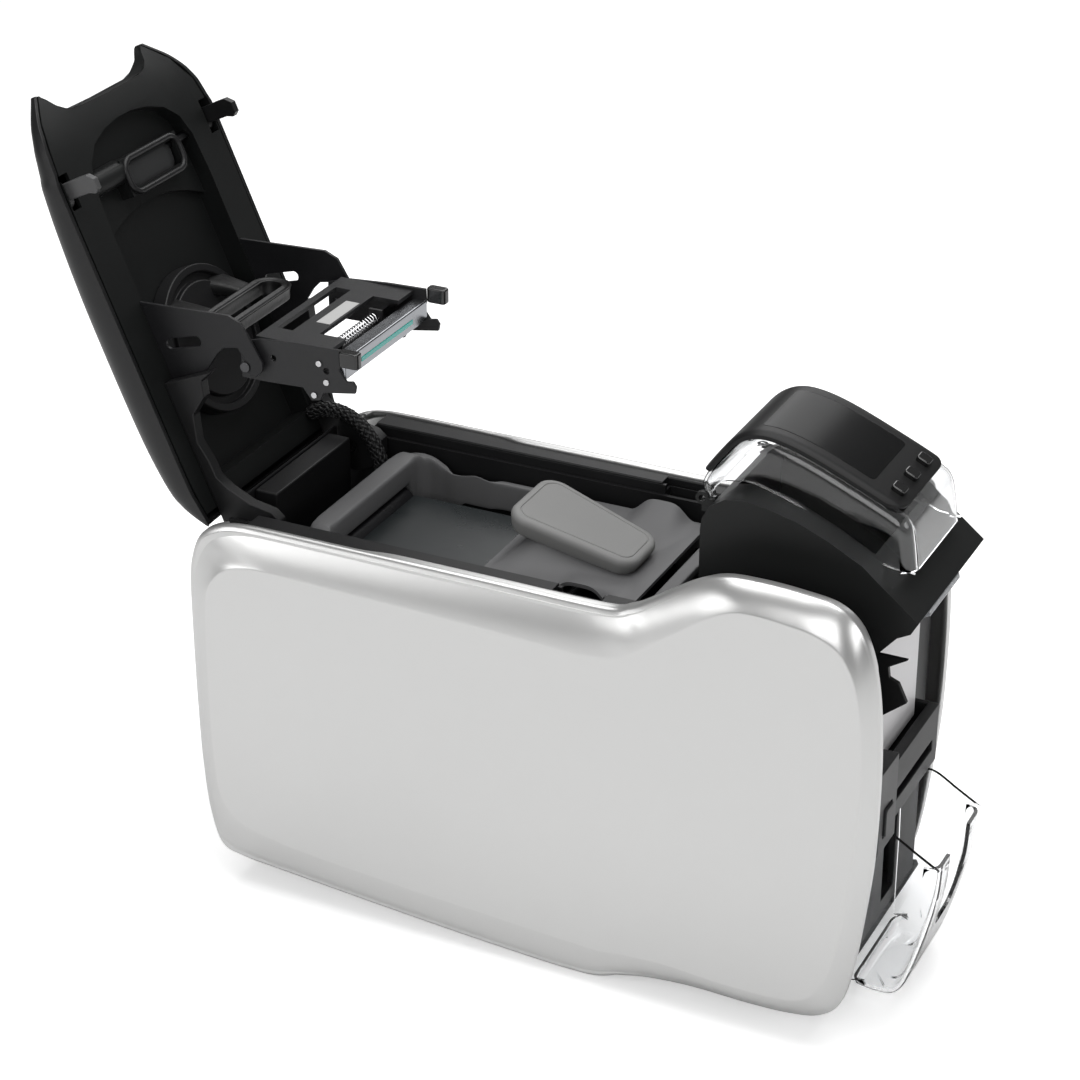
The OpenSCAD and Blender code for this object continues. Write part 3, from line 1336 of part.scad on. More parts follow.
// Braided harness from the lid down into the body, along its real route
harness_d = 8;
harness_y = 41.5;
harness_sides = 10;
harness_route = [[2.6, 199.2], [6, 201.5], [12, 203.5], [18, 203.5], [24, 202], [30, 198.5],
    [35, 193.5], [38.5, 187.5],
    [41, 181], [42.2, 174], [42.5, 167]];
function harness_ring(i) = let (p = harness_route, n = len(p),
    t2 = i == 0 ? p[1] - p[0] : i == n - 1 ? p[n - 1] - p[n - 2] : p[i + 1] - p[i - 1], t = t2 / norm(t2),
    side = [-t[1], t[0]]) [for (k = [0 : harness_sides - 1]) let (a = 360 * k / harness_sides)
        [p[i][0] + harness_d / 2 * cos(a) * side[0], harness_y + harness_d / 2 * sin(a),
            p[i][1] + harness_d / 2 * cos(a) * side[1]]];
module wire_harness() {
    placed() color([0.04, 0.04, 0.045]) ring_skin([for (i = [0 : len(harness_route) - 1]) harness_ring(i)]);
}

// The whole model is shifted so that its box is centred in X and its feet stand at Z = 0
lid_xs = [for (r = lid_outer) for (p = r) hinge_x + spun([p[0], p[2]], -lid_open)[0]];
model_rear = min(lid_xs);
model_front = bin_x + bin_out;
module placed() {
    translate([-(model_rear + model_front) / 2, 0, foot_drop]) children();
}

side_panel_near();
side_panel_far();
floor_tray();
chassis_wall_near();
chassis_wall_far();
rim_trim_near();
rim_trim_far();
rear_cover();
rear_housing();
feet();
front_plate();
hopper_base();
card_guide();
slot_bezel();
power_panel();
light_strip();
main_board();
drive_motor();
power_inlet();
data_port();
chassis_screws();
hinge_pins();
output_ramp();
wire_harness();
lid_shell();
lid_liner();
lid_arm_near();
lid_arm_far();
lid_spool_cover();
head_bracket_near();
head_bracket_far();
cable_loop();
head_pivot_pins();
latch_hooks();
latch_shaft();
head_plate_near();
head_plate_far();
head_bridge();
head_bar();
print_strip();
head_spring();
head_knobs();
head_screws();
head_label();
cartridge_frame();
cartridge_handle();
ribbon_film();
full_spool();
used_spool();
platen_roller();
feed_roller();
motor_pinion();
hopper_cover();
display_bezel();
display_screen();
menu_button_near();
menu_button_middle();
menu_button_far();
power_button();
output_bin();
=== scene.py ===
"""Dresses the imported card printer: paint, moulded plastic, metal, clear parts, lamps, camera.

Sizes are in millimetres inside the classes and become metres where a mesh is made. Three sets
of axes are used: the body's, which starts at the rear foot of the near side panel, the lid's,
which starts at the hinge with the lid lying closed, and the head's, which starts at its pivot.
"""
import logging
import math
from dataclasses import dataclass
from enum import Enum
from typing import Optional, Sequence

import bmesh
import bpy
import numpy as np
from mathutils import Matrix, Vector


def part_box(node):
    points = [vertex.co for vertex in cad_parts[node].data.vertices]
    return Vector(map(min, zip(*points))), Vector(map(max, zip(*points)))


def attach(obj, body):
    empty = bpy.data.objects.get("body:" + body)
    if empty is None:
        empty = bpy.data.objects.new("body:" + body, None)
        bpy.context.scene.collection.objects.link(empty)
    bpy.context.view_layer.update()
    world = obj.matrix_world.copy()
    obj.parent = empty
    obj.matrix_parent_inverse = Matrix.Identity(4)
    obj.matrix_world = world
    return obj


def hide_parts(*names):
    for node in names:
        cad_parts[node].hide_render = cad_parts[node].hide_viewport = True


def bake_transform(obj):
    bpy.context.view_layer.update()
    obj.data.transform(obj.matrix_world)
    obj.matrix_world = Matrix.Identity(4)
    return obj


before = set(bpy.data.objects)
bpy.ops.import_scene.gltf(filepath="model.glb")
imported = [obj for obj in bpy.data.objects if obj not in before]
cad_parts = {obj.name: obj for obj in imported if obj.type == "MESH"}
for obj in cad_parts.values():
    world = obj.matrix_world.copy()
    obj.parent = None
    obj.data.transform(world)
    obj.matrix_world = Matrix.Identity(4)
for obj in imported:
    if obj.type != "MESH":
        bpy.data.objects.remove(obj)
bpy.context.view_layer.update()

MM = 0.001
# Points worked out on each span of a smoothed line.
SPAN_POINTS = 24
# Edges that bend more than this many degrees stay sharp or are rounded.
SHARP = 35.0
LOG = logging.getLogger("card_printer")
Array = np.ndarray
Colour = tuple[float, float, float]


@dataclass(frozen=True)
class Places:
    """Turns points in millimetres on the body, the lid or the head into metres of the printer.

    The three starting points are read from the fixed parts, so they follow the printer's size.
    """

    panel: tuple[float, float]
    hinge: tuple[float, float]
    pivot: tuple[float, float]
    lid_angle: float = 113.4

    @classmethod
    def read(cls) -> "Places":
        """Measures the starting points on the near panel, the hinge pins and the head's pins.

        Returns:
            The places.
        """
        low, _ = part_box("side_panel_near")
        centres = []
        for pins in ("hinge_pins", "head_pivot_pins"):
            first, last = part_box(pins)
            centres.append(((first.x + last.x) / 2, (first.z + last.z) / 2))
        return cls((low.x, low.z), centres[0], centres[1])

    def body(self, points: Array) -> Array:
        """Returns body points in metres: the points scaled, then moved to the panel's corner."""
        return points * MM + np.array([self.panel[0], 0.0, self.panel[1]])

    def lid(self, points: Array) -> Array:
        """Turns lid points back about the hinge by the lid's open angle.

        Args:
            points: the points in millimetres.

        Returns:
            The points in metres.
        """
        turn = math.radians(-self.lid_angle)
        x, y, z = points[..., 0], points[..., 1], points[..., 2]
        turned = np.stack([x * math.cos(turn) + z * math.sin(turn), y,
                           z * math.cos(turn) - x * math.sin(turn)], axis=-1)
        return turned * MM + np.array([self.hinge[0], 0.0, self.hinge[1]])

    def head(self, points: Array) -> Array:
        """Returns head points in metres: the points scaled, then moved to the head's pivot."""
        return points * MM + np.array([self.pivot[0], 0.0, self.pivot[1]])


AT = Places.read()


class NodeSketch:
    """Lays nodes and links in one node tree."""

    def __init__(self, tree: bpy.types.NodeTree) -> None:
        """Keeps the tree that the nodes go into."""
        self.tree = tree

    def add(self, kind: str, **values: object) -> bpy.types.Node:
        """Adds a node.

        Args:
            kind: the node's type name.
            **values: its properties, such as operation or blend_type.

        Returns:
            The new node.
        """
        node = self.tree.nodes.new(kind)
        for key, value in values.items():
            setattr(node, key, value)
        return node

    def link(self, out: bpy.types.NodeSocket, into: bpy.types.NodeSocket) -> None:
        """Links one socket into another."""
        self.tree.links.new(out, into)

    def fill(self, node: bpy.types.Node, values: dict[object, object]) -> bpy.types.Node:
        """Links or sets a node's inputs.

        Args:
            node: the node.
            values: a socket or a plain value for each input's name or number.

        Returns:
            The same node.
        """
        for label, value in values.items():
            if isinstance(value, bpy.types.NodeSocket):
                self.link(value, node.inputs[label])
            else:
                node.inputs[label].default_value = value
        return node

    def math(self, operation: str, first: object, second: object) -> bpy.types.NodeSocket:
        """Returns the result of a new Math node whose inputs are sockets or plain numbers."""
        node = self.add("ShaderNodeMath", operation=operation)
        return self.fill(node, {0: first, 1: second}).outputs[0]

    def noise(self, vector: bpy.types.NodeSocket, scale: bpy.types.NodeSocket, detail: float,
              rough: float = 0.5, bend: float = 0.0) -> bpy.types.NodeSocket:
        """Adds a noise.

        Args:
            vector: its coordinates.
            scale: its scale.
            detail: how many finer noises it has.
            rough: the share of each finer noise.
            bend: how far the coordinates are distorted.

        Returns:
            The noise's value.
        """
        node = self.add("ShaderNodeTexNoise")
        return self.fill(node, {"Vector": vector, "Scale": scale, "Detail": detail,
                                "Roughness": rough, "Distortion": bend}).outputs["Fac"]


def new_group(name: str, inputs: Sequence[tuple[str, str, object]],
              outputs: Sequence[tuple[str, str]]) -> tuple[NodeSketch, bpy.types.Node,
                                                           bpy.types.Node]:
    """Makes an empty shader node group with named sockets.

    Args:
        name: the group's name.
        inputs: name, socket type and first value of each input.
        outputs: name and socket type of each output.

    Returns:
        A sketch of the group, and its input and output nodes.
    """
    tree = bpy.data.node_groups.new(name, "ShaderNodeTree")
    for label, kind, value in inputs:
        socket = tree.interface.new_socket(label, in_out="INPUT", socket_type=kind)
        if value is not None:
            socket.default_value = value
    for label, kind in outputs:
        tree.interface.new_socket(label, in_out="OUTPUT", socket_type=kind)
    sketch = NodeSketch(tree)
    return sketch, sketch.add("NodeGroupInput"), sketch.add("NodeGroupOutput")


def moulded_grain_group() -> bpy.types.NodeTree:
    """Makes the grain of moulded plastic: a fine noise plus a share of a broader one.

    Returns:
        The node group, whose output is a height.
    """
    sketch, given, result = new_group(
        "moulded_grain",
        [("Vector", "NodeSocketVector", None), ("Scale", "NodeSocketFloat", 1400.0),
         ("Broad Share", "NodeSocketFloat", 0.3)],
        [("Height", "NodeSocketFloat")])
    where, scale = given.outputs["Vector"], given.outputs["Scale"]
    fine = sketch.noise(where, scale, 3.0, 0.65)
    broad = sketch.noise(where, sketch.math("MULTIPLY", scale, 0.22), 2.0)
    part = sketch.math("MULTIPLY", broad, given.outputs["Broad Share"])
    sketch.fill(result, {"Height": sketch.math("ADD", fine, part)})
    return sketch.tree


def handling_group() -> bpy.types.NodeTree:
    """Makes slow changes of shade and gloss from two wide noises.

    The colour is multiplied by one plus the first noise (centred on zero) times Mottle, and the
    roughness is Gloss plus the second noise, centred too, times Smudge.

    Returns:
        The node group, whose outputs are a colour and a roughness.
    """
    sketch, given, result = new_group(
        "handling",
        [("Vector", "NodeSocketVector", None), ("Base", "NodeSocketColor", (0.5, 0.5, 0.5, 1.0)),
         ("Gloss", "NodeSocketFloat", 0.5), ("Mottle", "NodeSocketFloat", 0.06),
         ("Smudge", "NodeSocketFloat", 0.1), ("Scale", "NodeSocketFloat", 18.0)],
        [("Color", "NodeSocketColor"), ("Roughness", "NodeSocketFloat")])
    where, scale = given.outputs["Vector"], given.outputs["Scale"]
    wide = sketch.noise(where, scale, 4.0)
    streak = sketch.noise(where, sketch.math("MULTIPLY", scale, 2.3), 5.0, bend=0.8)
    mottle = sketch.math("MULTIPLY", sketch.math("SUBTRACT", wide, 0.5), given.outputs["Mottle"])
    rub = sketch.math("MULTIPLY", sketch.math("SUBTRACT", streak, 0.5), given.outputs["Smudge"])
    shaded = sketch.fill(sketch.add("ShaderNodeVectorMath", operation="SCALE"), {
        0: given.outputs["Base"], "Scale": sketch.math("ADD", mottle, 1.0)})
    sketch.fill(result, {"Color": shaded.outputs["Vector"],
                         "Roughness": sketch.math("ADD", given.outputs["Gloss"], rub)})
    return sketch.tree


def brushing_group() -> bpy.types.NodeTree:
    """Makes the fine scratches of brushed metal: a noise on coordinates stretched along Y.

    Returns:
        The node group, whose output is a height.
    """
    sketch, given, result = new_group(
        "brushing", [("Vector", "NodeSocketVector", None), ("Scale", "NodeSocketFloat", 900.0)],
        [("Height", "NodeSocketFloat")])
    stretch = sketch.fill(sketch.add("ShaderNodeVectorMath", operation="MULTIPLY"),
                          {0: given.outputs["Vector"], 1: (1.0, 0.04, 1.0)})
    lines = sketch.noise(stretch.outputs["Vector"], given.outputs["Scale"], 4.0)
    sketch.fill(result, {"Height": lines})
    return sketch.tree


class Relief(Enum):
    """The small relief of a finish, by the name of its node group."""

    GRAIN = "moulded_grain"
    BRUSHING = "brushing"


GROUPS = {group.name: group
          for group in (moulded_grain_group(), handling_group(), brushing_group())}


@dataclass(frozen=True)
class Finish:
    """One finish of the printer: colour, gloss and the small relief of its surface."""

    name: str
    slot: str
    colour: Colour
    gloss: float
    pattern: Relief = Relief.GRAIN
    metallic: float = 0.0
    mottle: float = 0.08
    smudge: float = 0.10
    grain: float = 1500.0
    relief: float = 0.05
    coat: float = 0.0
    coat_gloss: float = 0.1
    see_through: float = 0.0
    ior: float = 1.5
    specular: float = 0.5
    # Painted shade for clear finishes: the colour seen at a shallow angle; below 1 darkens the
    # edges.
    painted_edge_shade: float = 1.0
    edge_blend: float = 0.35
    edge_power: float = 2.5
    bump_depth: float = 0.0004

    def build(self) -> bpy.types.Material:
        """Makes the finish once and keeps it under its name.

        Returns:
            The material.
        """
        title = self.name + "_finish"
        known = bpy.data.materials.get(title)
        if known is not None:
            return known
        material = bpy.data.materials.new(title)
        material.use_nodes = True
        material.node_tree.nodes.clear()
        sketch = NodeSketch(material.node_tree)
        where = sketch.add("ShaderNodeTexCoord").outputs["Object"]
        shade = sketch.fill(sketch.add("ShaderNodeGroup", node_tree=GROUPS["handling"]), {
            "Vector": where, "Base": (*self.colour, 1.0), "Gloss": self.gloss,
            "Mottle": self.mottle, "Smudge": self.smudge})
        colour = shade.outputs["Color"]
        if self.painted_edge_shade < 1.0:
            colour = self._shade_edges(sketch, colour)
        shader = sketch.fill(sketch.add("ShaderNodeBsdfPrincipled"), {
            "Base Color": colour, "Roughness": shade.outputs["Roughness"],
            "Metallic": self.metallic, "IOR": self.ior, "Specular IOR Level": self.specular,
            "Coat Weight": self.coat, "Coat Roughness": self.coat_gloss,
            "Transmission Weight": self.see_through, "Normal": self._bump(sketch, where)})
        sketch.fill(sketch.add("ShaderNodeOutputMaterial"), {"Surface": shader.outputs[0]})
        return material

    def _shade_edges(self, sketch: NodeSketch,
                     colour: bpy.types.NodeSocket) -> bpy.types.NodeSocket:
        """Paints shade into a clear finish: its colour darkens where it is seen at a shallow angle.

        Args:
            sketch: the material's tree.
            colour: the colour seen straight on.

        Returns:
            The colour with its dark edges.
        """
        lean = sketch.fill(sketch.add("ShaderNodeLayerWeight"), {"Blend": self.edge_blend})
        share = sketch.math("POWER", lean.outputs["Facing"], self.edge_power)
        mix = sketch.fill(sketch.add("ShaderNodeMix", data_type="RGBA"), {
            "Factor": share, "A": colour, "B": (*(self.painted_edge_shade,) * 3, 1.0)})
        return mix.outputs["Result"]

    def _bump(self, sketch: NodeSketch, where: bpy.types.NodeSocket) -> bpy.types.NodeSocket:
        """Adds the bump of the finish's grain or brushing.

        Args:
            sketch: the material's tree.
            where: the coordinates of the pattern.

        Returns:
            The bumped normal.
        """
        group = GROUPS[self.pattern.value]
        small = sketch.fill(sketch.add("ShaderNodeGroup", node_tree=group),
                            {"Vector": where, "Scale": self.grain})
        bump = sketch.fill(sketch.add("ShaderNodeBump"), {
            "Strength": self.relief, "Distance": self.bump_depth,
            "Height": small.outputs["Height"]})
        return bump.outputs["Normal"]


SILVER = Finish("satin_silver", "panel_silver", (0.60, 0.60, 0.595), 0.29,
                metallic=0.80, mottle=0.015, smudge=0.03, grain=3200.0, relief=0.03)
SHELL = Finish("satin_black", "shell_black", (0.0075, 0.0075, 0.008), 0.38, mottle=0.2,
               relief=0.08, specular=0.32)
LINER = Finish("textured_black", "shell_black", (0.0055, 0.006, 0.006), 0.46, mottle=0.2,
               grain=1700.0, relief=0.12, specular=0.25)
TRIM = Finish("matt_black", "shell_black", (0.008, 0.008, 0.0085), 0.44, mottle=0.2, relief=0.10,
              specular=0.28)
CHASSIS = Finish("chassis_paint", "chassis_black", (0.007, 0.007, 0.0075), 0.48,
                 mottle=0.15, relief=0.10, specular=0.25)
PLATE = Finish("powder_coat", "plate_dark", (0.014, 0.014, 0.015), 0.42,
               mottle=0.15, grain=2100.0, relief=0.25, specular=0.35)
BRACKET = Finish("powder_coat_black", "plate_dark", (0.008, 0.008, 0.009), 0.40,
                 mottle=0.15, grain=2100.0, relief=0.22, specular=0.32)
RUBBER = Finish("rubber", "rubber_black", (0.010, 0.010, 0.010), 0.62, mottle=0.3, relief=0.1,
                specular=0.25)
LOOP = Finish("loop_rubber", "loop_rubber", (0.007, 0.007, 0.0072), 0.40, mottle=0.6, smudge=0.3,
              grain=700.0, relief=0.30, specular=0.35)
FRAME_GREY = Finish("frame_grey", "frame_grey", (0.095, 0.095, 0.097), 0.52, mottle=0.05,
                    relief=0.1, specular=0.35)
HANDLE_GREY = Finish("handle_grey", "handle_grey", (0.190, 0.190, 0.187), 0.55, mottle=0.05,
                     grain=1900.0, relief=0.18, specular=0.3)
FILM = Finish("ribbon", "film_dark", (0.016, 0.019, 0.020), 0.30, mottle=0.6, smudge=0.25,
              grain=160.0, relief=0.05, specular=0.35)
ROLL = Finish("wound_ribbon", "film_dark", (0.006, 0.006, 0.007), 0.28, Relief.BRUSHING,
              grain=600.0, relief=0.1, specular=0.35)
STEEL = Finish("bright_steel", "steel", (0.55, 0.55, 0.56), 0.26, Relief.BRUSHING, metallic=1.0,
               mottle=0.05, relief=0.08)
PIN_STEEL = Finish("dark_steel", "steel", (0.085, 0.085, 0.088), 0.3, Relief.BRUSHING, metallic=1.0,
                   mottle=0.1, relief=0.08)
BAR_STEEL = Finish("ground_steel", "bar_steel", (0.36, 0.37, 0.39), 0.22, Relief.BRUSHING,
                   metallic=1.0, mottle=0.08, relief=0.08)
HOOK_GREY = Finish("hook_grey", "hook_grey", (0.060, 0.060, 0.061), 0.36, mottle=0.1, relief=0.1,
                   specular=0.4)
TEAL = Finish("teal_glaze", "strip_teal", (0.0, 0.42, 0.36), 0.18, mottle=0.05, coat=0.6)
LEVER = Finish("lever_grey", "shell_black", (0.022, 0.0225, 0.023), 0.45, mottle=0.15, relief=0.15,
               specular=0.3)
KNOB = Finish("gloss_black", "knob_black", (0.005, 0.005, 0.005), 0.2, mottle=0.1, relief=0.02,
              coat=0.3)
LABEL = Finish("blank_label", "label_white", (0.40, 0.40, 0.395), 0.5, mottle=0.08, relief=0.02)
BASE = Finish("base_black", "base_black", (0.0105, 0.0110, 0.0110), 0.44, mottle=0.15, relief=0.12,
              specular=0.22)
# Painted shade: the clear cover's colour darkens to 0.22 where it is seen at a shallow angle.
COVER = Finish("smoky_clear", "cover_clear", (0.93, 0.935, 0.94), 0.03,
               see_through=1.0, mottle=0.02, smudge=0.02, grain=60.0, relief=0.0, ior=1.45,
               painted_edge_shade=0.22)
BEZEL = Finish("display_frame", "display_bezel", (0.007, 0.007, 0.0073), 0.40, mottle=0.15,
               relief=0.10, specular=0.22)
SCREEN = Finish("display_window", "screen_black", (0.003, 0.0032, 0.0034), 0.24, mottle=0.1,
                smudge=0.05, relief=0.0, coat=0.0, specular=0.13)
BUTTON = Finish("button_black", "button_black", (0.003, 0.003, 0.003), 0.14, mottle=0.05,
                relief=0.0, coat=0.6)
GUIDE = Finish("guide_white", "guide_white", (0.74, 0.73, 0.74), 0.5, mottle=0.03, relief=0.06)
POWER = Finish("power_grey", "panel_grey", (0.016, 0.016, 0.017), 0.40, mottle=0.1, relief=0.1,
               specular=0.35)
STRIP = Finish("light_strip", "strip_clear", (0.60, 0.62, 0.64), 0.22,
               see_through=0.55, mottle=0.2, relief=0.05)
# Painted shade: the clear bin's colour darkens to 0.12 where it is seen at a shallow angle.
BIN = Finish("clear_plastic", "bin_clear", (0.955, 0.96, 0.965), 0.02,
             see_through=1.0, mottle=0.01, smudge=0.02, grain=60.0, relief=0.0, ior=1.44,
             painted_edge_shade=0.12)
BOARD = Finish("board_green", "board_green", (0.012, 0.10, 0.045), 0.35, mottle=0.2, relief=0.05)
MOTOR = Finish("motor_can", "motor_steel", (0.45, 0.45, 0.46), 0.35, Relief.BRUSHING, metallic=1.0)
NYLON = Finish("gear_nylon", "gear_white", (0.62, 0.58, 0.50), 0.45, mottle=0.06, relief=0.06)
HARNESS = Finish("braided_sleeve", "harness_black", (0.007, 0.007, 0.0075), 0.42, mottle=0.3,
                 relief=0.1, specular=0.35)


def even_steps(line: Array, count: int, closed: bool) -> Array:
    """Samples a line again at even steps of its length.

    Args:
        line: the line, which ends where it starts if it is closed.
        count: how many points to return.
        closed: whether the last point is left out, because it is the first again.

    Returns:
        An array of count points.
    """
    reach = np.concatenate([[0.0], np.cumsum(np.linalg.norm(np.diff(line, axis=0), axis=1))])
    wanted = np.linspace(0.0, reach[-1], count, endpoint=not closed)
    return np.stack([np.interp(wanted, reach, line[:, k]) for k in range(line.shape[1])], -1)


def smooth_line(points: Sequence[Sequence[float]], count: int, closed: bool = False) -> Array:
    """Smooths a line through its points.

    Each span is the cubic whose tangents are half the chord between a point's neighbours. An
    open line goes on straight past its ends for this.

    Args:
        points: the line's points, in order.
        count: how many points to return.
        closed: whether the last point joins the first.

    Returns:
        An array of count points, even in length along the line.
    """
    p = np.asarray(points, float)
    ends = (p[-1:], p[:2]) if closed else (2 * p[:1] - p[1:2], 2 * p[-1:] - p[-2:-1])
    padded = np.vstack([ends[0], p, ends[1]])
    t = (np.arange(SPAN_POINTS) / SPAN_POINTS)[None, :, None]
    p0, p1, p2, p3 = (padded[k:len(padded) - 3 + k, None, :] for k in range(4))
    dense = 0.5 * (2 * p1 + (p2 - p0) * t + (2 * p0 - 5 * p1 + 4 * p2 - p3) * t ** 2
                   + (3 * p1 - p0 - 3 * p2 + p3) * t ** 3)
    line = np.vstack([dense.reshape(-1, p.shape[1]), padded[-2:-1]])
    return even_steps(line, count, closed)


def inset(line: Array, depth: float, closed: bool = True) -> Array:
    """Moves each point of a flat line to the left of its path.

    Args:
        line: the points.
        depth: how far they move.
        closed: whether the last point joins the first.

    Returns:
        The moved points.
    """
    run = np.roll(line, -1, 0) - np.roll(line, 1, 0) if closed else np.gradient(line, axis=0)
    run = run / np.maximum(np.linalg.norm(run, axis=1, keepdims=True), 1e-9)
    return line + depth * np.stack([-run[:, 1], run[:, 0]], axis=-1)


def full_turn(count: int) -> Array:
    """Returns angles at even steps round a whole turn."""
    return np.linspace(0, 2 * np.pi, count, endpoint=False)


def squared(wave: Array, power: float) -> Array:
    """Returns a sine or cosine raised to a power, its sign kept, which squares a circle."""
    return np.sign(wave) * np.abs(wave) ** power


def smooth_step(x: Array, start: float, stop: float) -> Array:
    """Returns 0 before start, 1 after stop and the cubic 3t^2 - 2t^3 between."""
    t = np.clip((x - start) / (stop - start), 0, 1)
    return t * t * (3 - 2 * t)


def pick(line: Array, places: Array) -> Array:
    """Returns the points of a line at places counted in whole and part steps."""
    steps = np.arange(len(line))
    return np.stack([np.interp(places, steps, line[:, k]) for k in range(line.shape[1])], -1)


def upright(line: Array, y: object) -> Array:
    """Returns flat lines of X and Z stood up at one Y or at a Y for each point."""
    flat = np.broadcast_to(np.asarray(y, float), line.shape[:-1])
    return np.stack([line[..., 0], flat, line[..., 1]], -1)


def grid_faces(rows: int, columns: int, around: bool, start: int = 0) -> Array:
    """Numbers the corners of a grid's four-sided faces.

    Args:
        rows: number of rows of points.
        columns: number of points in a row.
        around: whether the last point of a row joins its first.
        start: number of the grid's first point.

    Returns:
        An array of four corner numbers for each face.
    """
    width = columns if around else columns - 1
    row, column = np.meshgrid(np.arange(rows - 1), np.arange(width), indexing="ij")
    nxt = (column + 1) % columns
    a, b = row * columns + column, row * columns + nxt
    return start + np.stack([a, b, b + columns, a + columns], axis=-1).reshape(-1, 4)


def into_scene(name: str, data: bpy.types.ID) -> bpy.types.Object:
    """Makes an object of a mesh, lamp or camera.

    Args:
        name: the object's name.
        data: what it shows.

    Returns:
        The new object, at the origin.
    """
    piece = bpy.data.objects.new(name, data)
    bpy.context.scene.collection.objects.link(piece)
    return piece


def finished(mesh: bpy.types.Mesh, finish: Finish, sharp: float) -> bpy.types.Object:
    """Smooths a mesh but for its sharp edges, finishes it and puts it into the scene.

    Args:
        mesh: the mesh.
        finish: what it is finished in.
        sharp: edges that bend more than this angle stay sharp.

    Returns:
        The new object.
    """
    mesh.shade_smooth()
    mesh.set_sharp_from_angle(angle=math.radians(sharp))
    mesh.materials.append(finish.build())
    return into_scene(mesh.name, mesh)


def make_object(name: str, points: Array, faces: Sequence[Sequence[int]], finish: Finish,
                sharp: float = SHARP) -> bpy.types.Object:
    """Puts points and faces into a new object at the origin and turns its faces outwards.

    Args:
        name: the piece's name.
        points: its points in metres.
        faces: corner numbers of each face.
        finish: what it is finished in.
        sharp: edges that bend more than this angle stay sharp.

    Returns:
        The new object.
    """
    mesh = bpy.data.meshes.new(name)
    mesh.from_pydata(np.asarray(points, float).reshape(-1, 3).tolist(), [],
                     [list(map(int, face)) for face in faces])
    shape = bmesh.new()
    shape.from_mesh(mesh)
    bmesh.ops.remove_doubles(shape, verts=shape.verts, dist=1e-6)
    bmesh.ops.recalc_face_normals(shape, faces=shape.faces)
    shape.to_mesh(mesh)
    shape.free()
    return finished(mesh, finish, sharp)


def rings_object(name: str, rings: Array, finish: Finish,
                 sharp: float = SHARP) -> bpy.types.Object:
    """Makes a closed skin through rings of points, each end closed to a pole in its middle.

    Args:
        name: the piece's name.
        rings: an array of rings by points by three, in metres.
        finish: what it is finished in.
        sharp: edges that bend more than this angle stay sharp.

    Returns:
        The new object.
    """
    count, around = rings.shape[:2]
    points = np.vstack([rings.reshape(-1, 3), rings[0].mean(0), rings[-1].mean(0)])
    step = np.arange(around)
    nxt, base, first = (step + 1) % around, (count - 1) * around, count * around
    faces = grid_faces(count, around, True).tolist()
    faces += np.stack([nxt, step, np.full(around, first)], axis=-1).tolist()
    faces += np.stack([base + step, base + nxt, np.full(around, first + 1)], axis=-1).tolist()
    return make_object(name, points, faces, finish, sharp)


def shell_object(name: str, outer: Array, inner: Array, finish: Finish,
                 sharp: float = SHARP) -> bpy.types.Object:
    """Closes an outer and an inner grid of the same size into a thin shell.

    Args:
        name: the piece's name.
        outer: rows by columns by three, in metres.
        inner: the same for the inside.
        finish: what it is finished in.
        sharp: edges that bend more than this angle stay sharp.

    Returns:
        The new object.
    """
    rows, columns = outer.shape[:2]
    count = rows * columns
    faces = grid_faces(rows, columns, False).tolist()
    faces += grid_faces(rows, columns, False, count)[:, ::-1].tolist()
    numbers = np.arange(count).reshape(rows, columns)
    for edge in (numbers[0], numbers[-1], numbers[:, 0], numbers[:, -1]):
        faces += np.stack([edge[:-1], edge[1:], edge[1:] + count, edge[:-1] + count],
                          axis=-1).tolist()
    return make_object(name, np.vstack([outer.reshape(-1, 3), inner.reshape(-1, 3)]), faces,
                       finish, sharp)


def rounded_plan(rear: float, front: float, halves: tuple[float, float], corner: float,
                 side: int = 60, turn: int = 14) -> Array:
    """Makes a four-sided plan with round corners, each side and turn with its own points.

    Args:
        rear: where it starts.
        front: where it ends.
        halves: half its width at the rear and at the front.
        corner: the corners' radius.
        side: points in each side.
        turn: points in each corner.

    Returns:
        The plan's points, near rear corner first.
    """
    corners = ((rear + corner, corner - halves[0], 180.0),
               (front - corner, corner - halves[1], 270.0),
               (front - corner, halves[1] - corner, 0.0),
               (rear + corner, halves[0] - corner, 90.0))
    arcs = []
    for x, y, first in corners:
        a = np.radians(first + np.linspace(0, 90, turn))
        arcs.append(np.stack([x + corner * np.cos(a), y + corner * np.sin(a)], -1))
    t = np.linspace(0, 1, side + 2)[1:-1, None]
    parts = []
    for arc, after in zip(arcs, arcs[1:] + arcs[:1]):
        parts += [arc, arc[-1] + (after[0] - arc[-1]) * t]
    return np.vstack(parts)


def hoop_object(name: str, points: Array, finish: Finish, sharp: float = SHARP) -> bpy.types.Object:
    """Makes a closed hoop from sections that run round it, the last joined to the first.

    Args:
        name: the piece's name.
        points: sections by points by three, in metres.
        finish: what it is finished in.
        sharp: edges that bend more than this angle stay sharp.

    Returns:
        The new object.
    """
    count, around = points.shape[:2]
    faces = grid_faces(count, around, True).tolist()
    last, first = (count - 1) * around + np.arange(around), np.arange(around)
    faces += np.stack([last, np.roll(last, -1), np.roll(first, -1), first], -1).tolist()
    return make_object(name, points, faces, finish, sharp)


def long_ring(halves: tuple[float, float], corner: float, count: int) -> tuple[Array, Array]:
    """Makes a flat ring with round corners.

    At each angle the point lies one corner radius, in the angle's direction, from the centre of
    the corner in the angle's quarter.

    Args:
        halves: half its size along X and along Y.
        corner: the corners' radius.
        count: how many points it has.

    Returns:
        The ring's points and the directions outwards from it.
    """
    a = full_turn(count)
    outward = np.stack([np.cos(a), np.sin(a)], -1)
    return np.sign(outward) * (np.array(halves) - corner) + corner * outward, outward


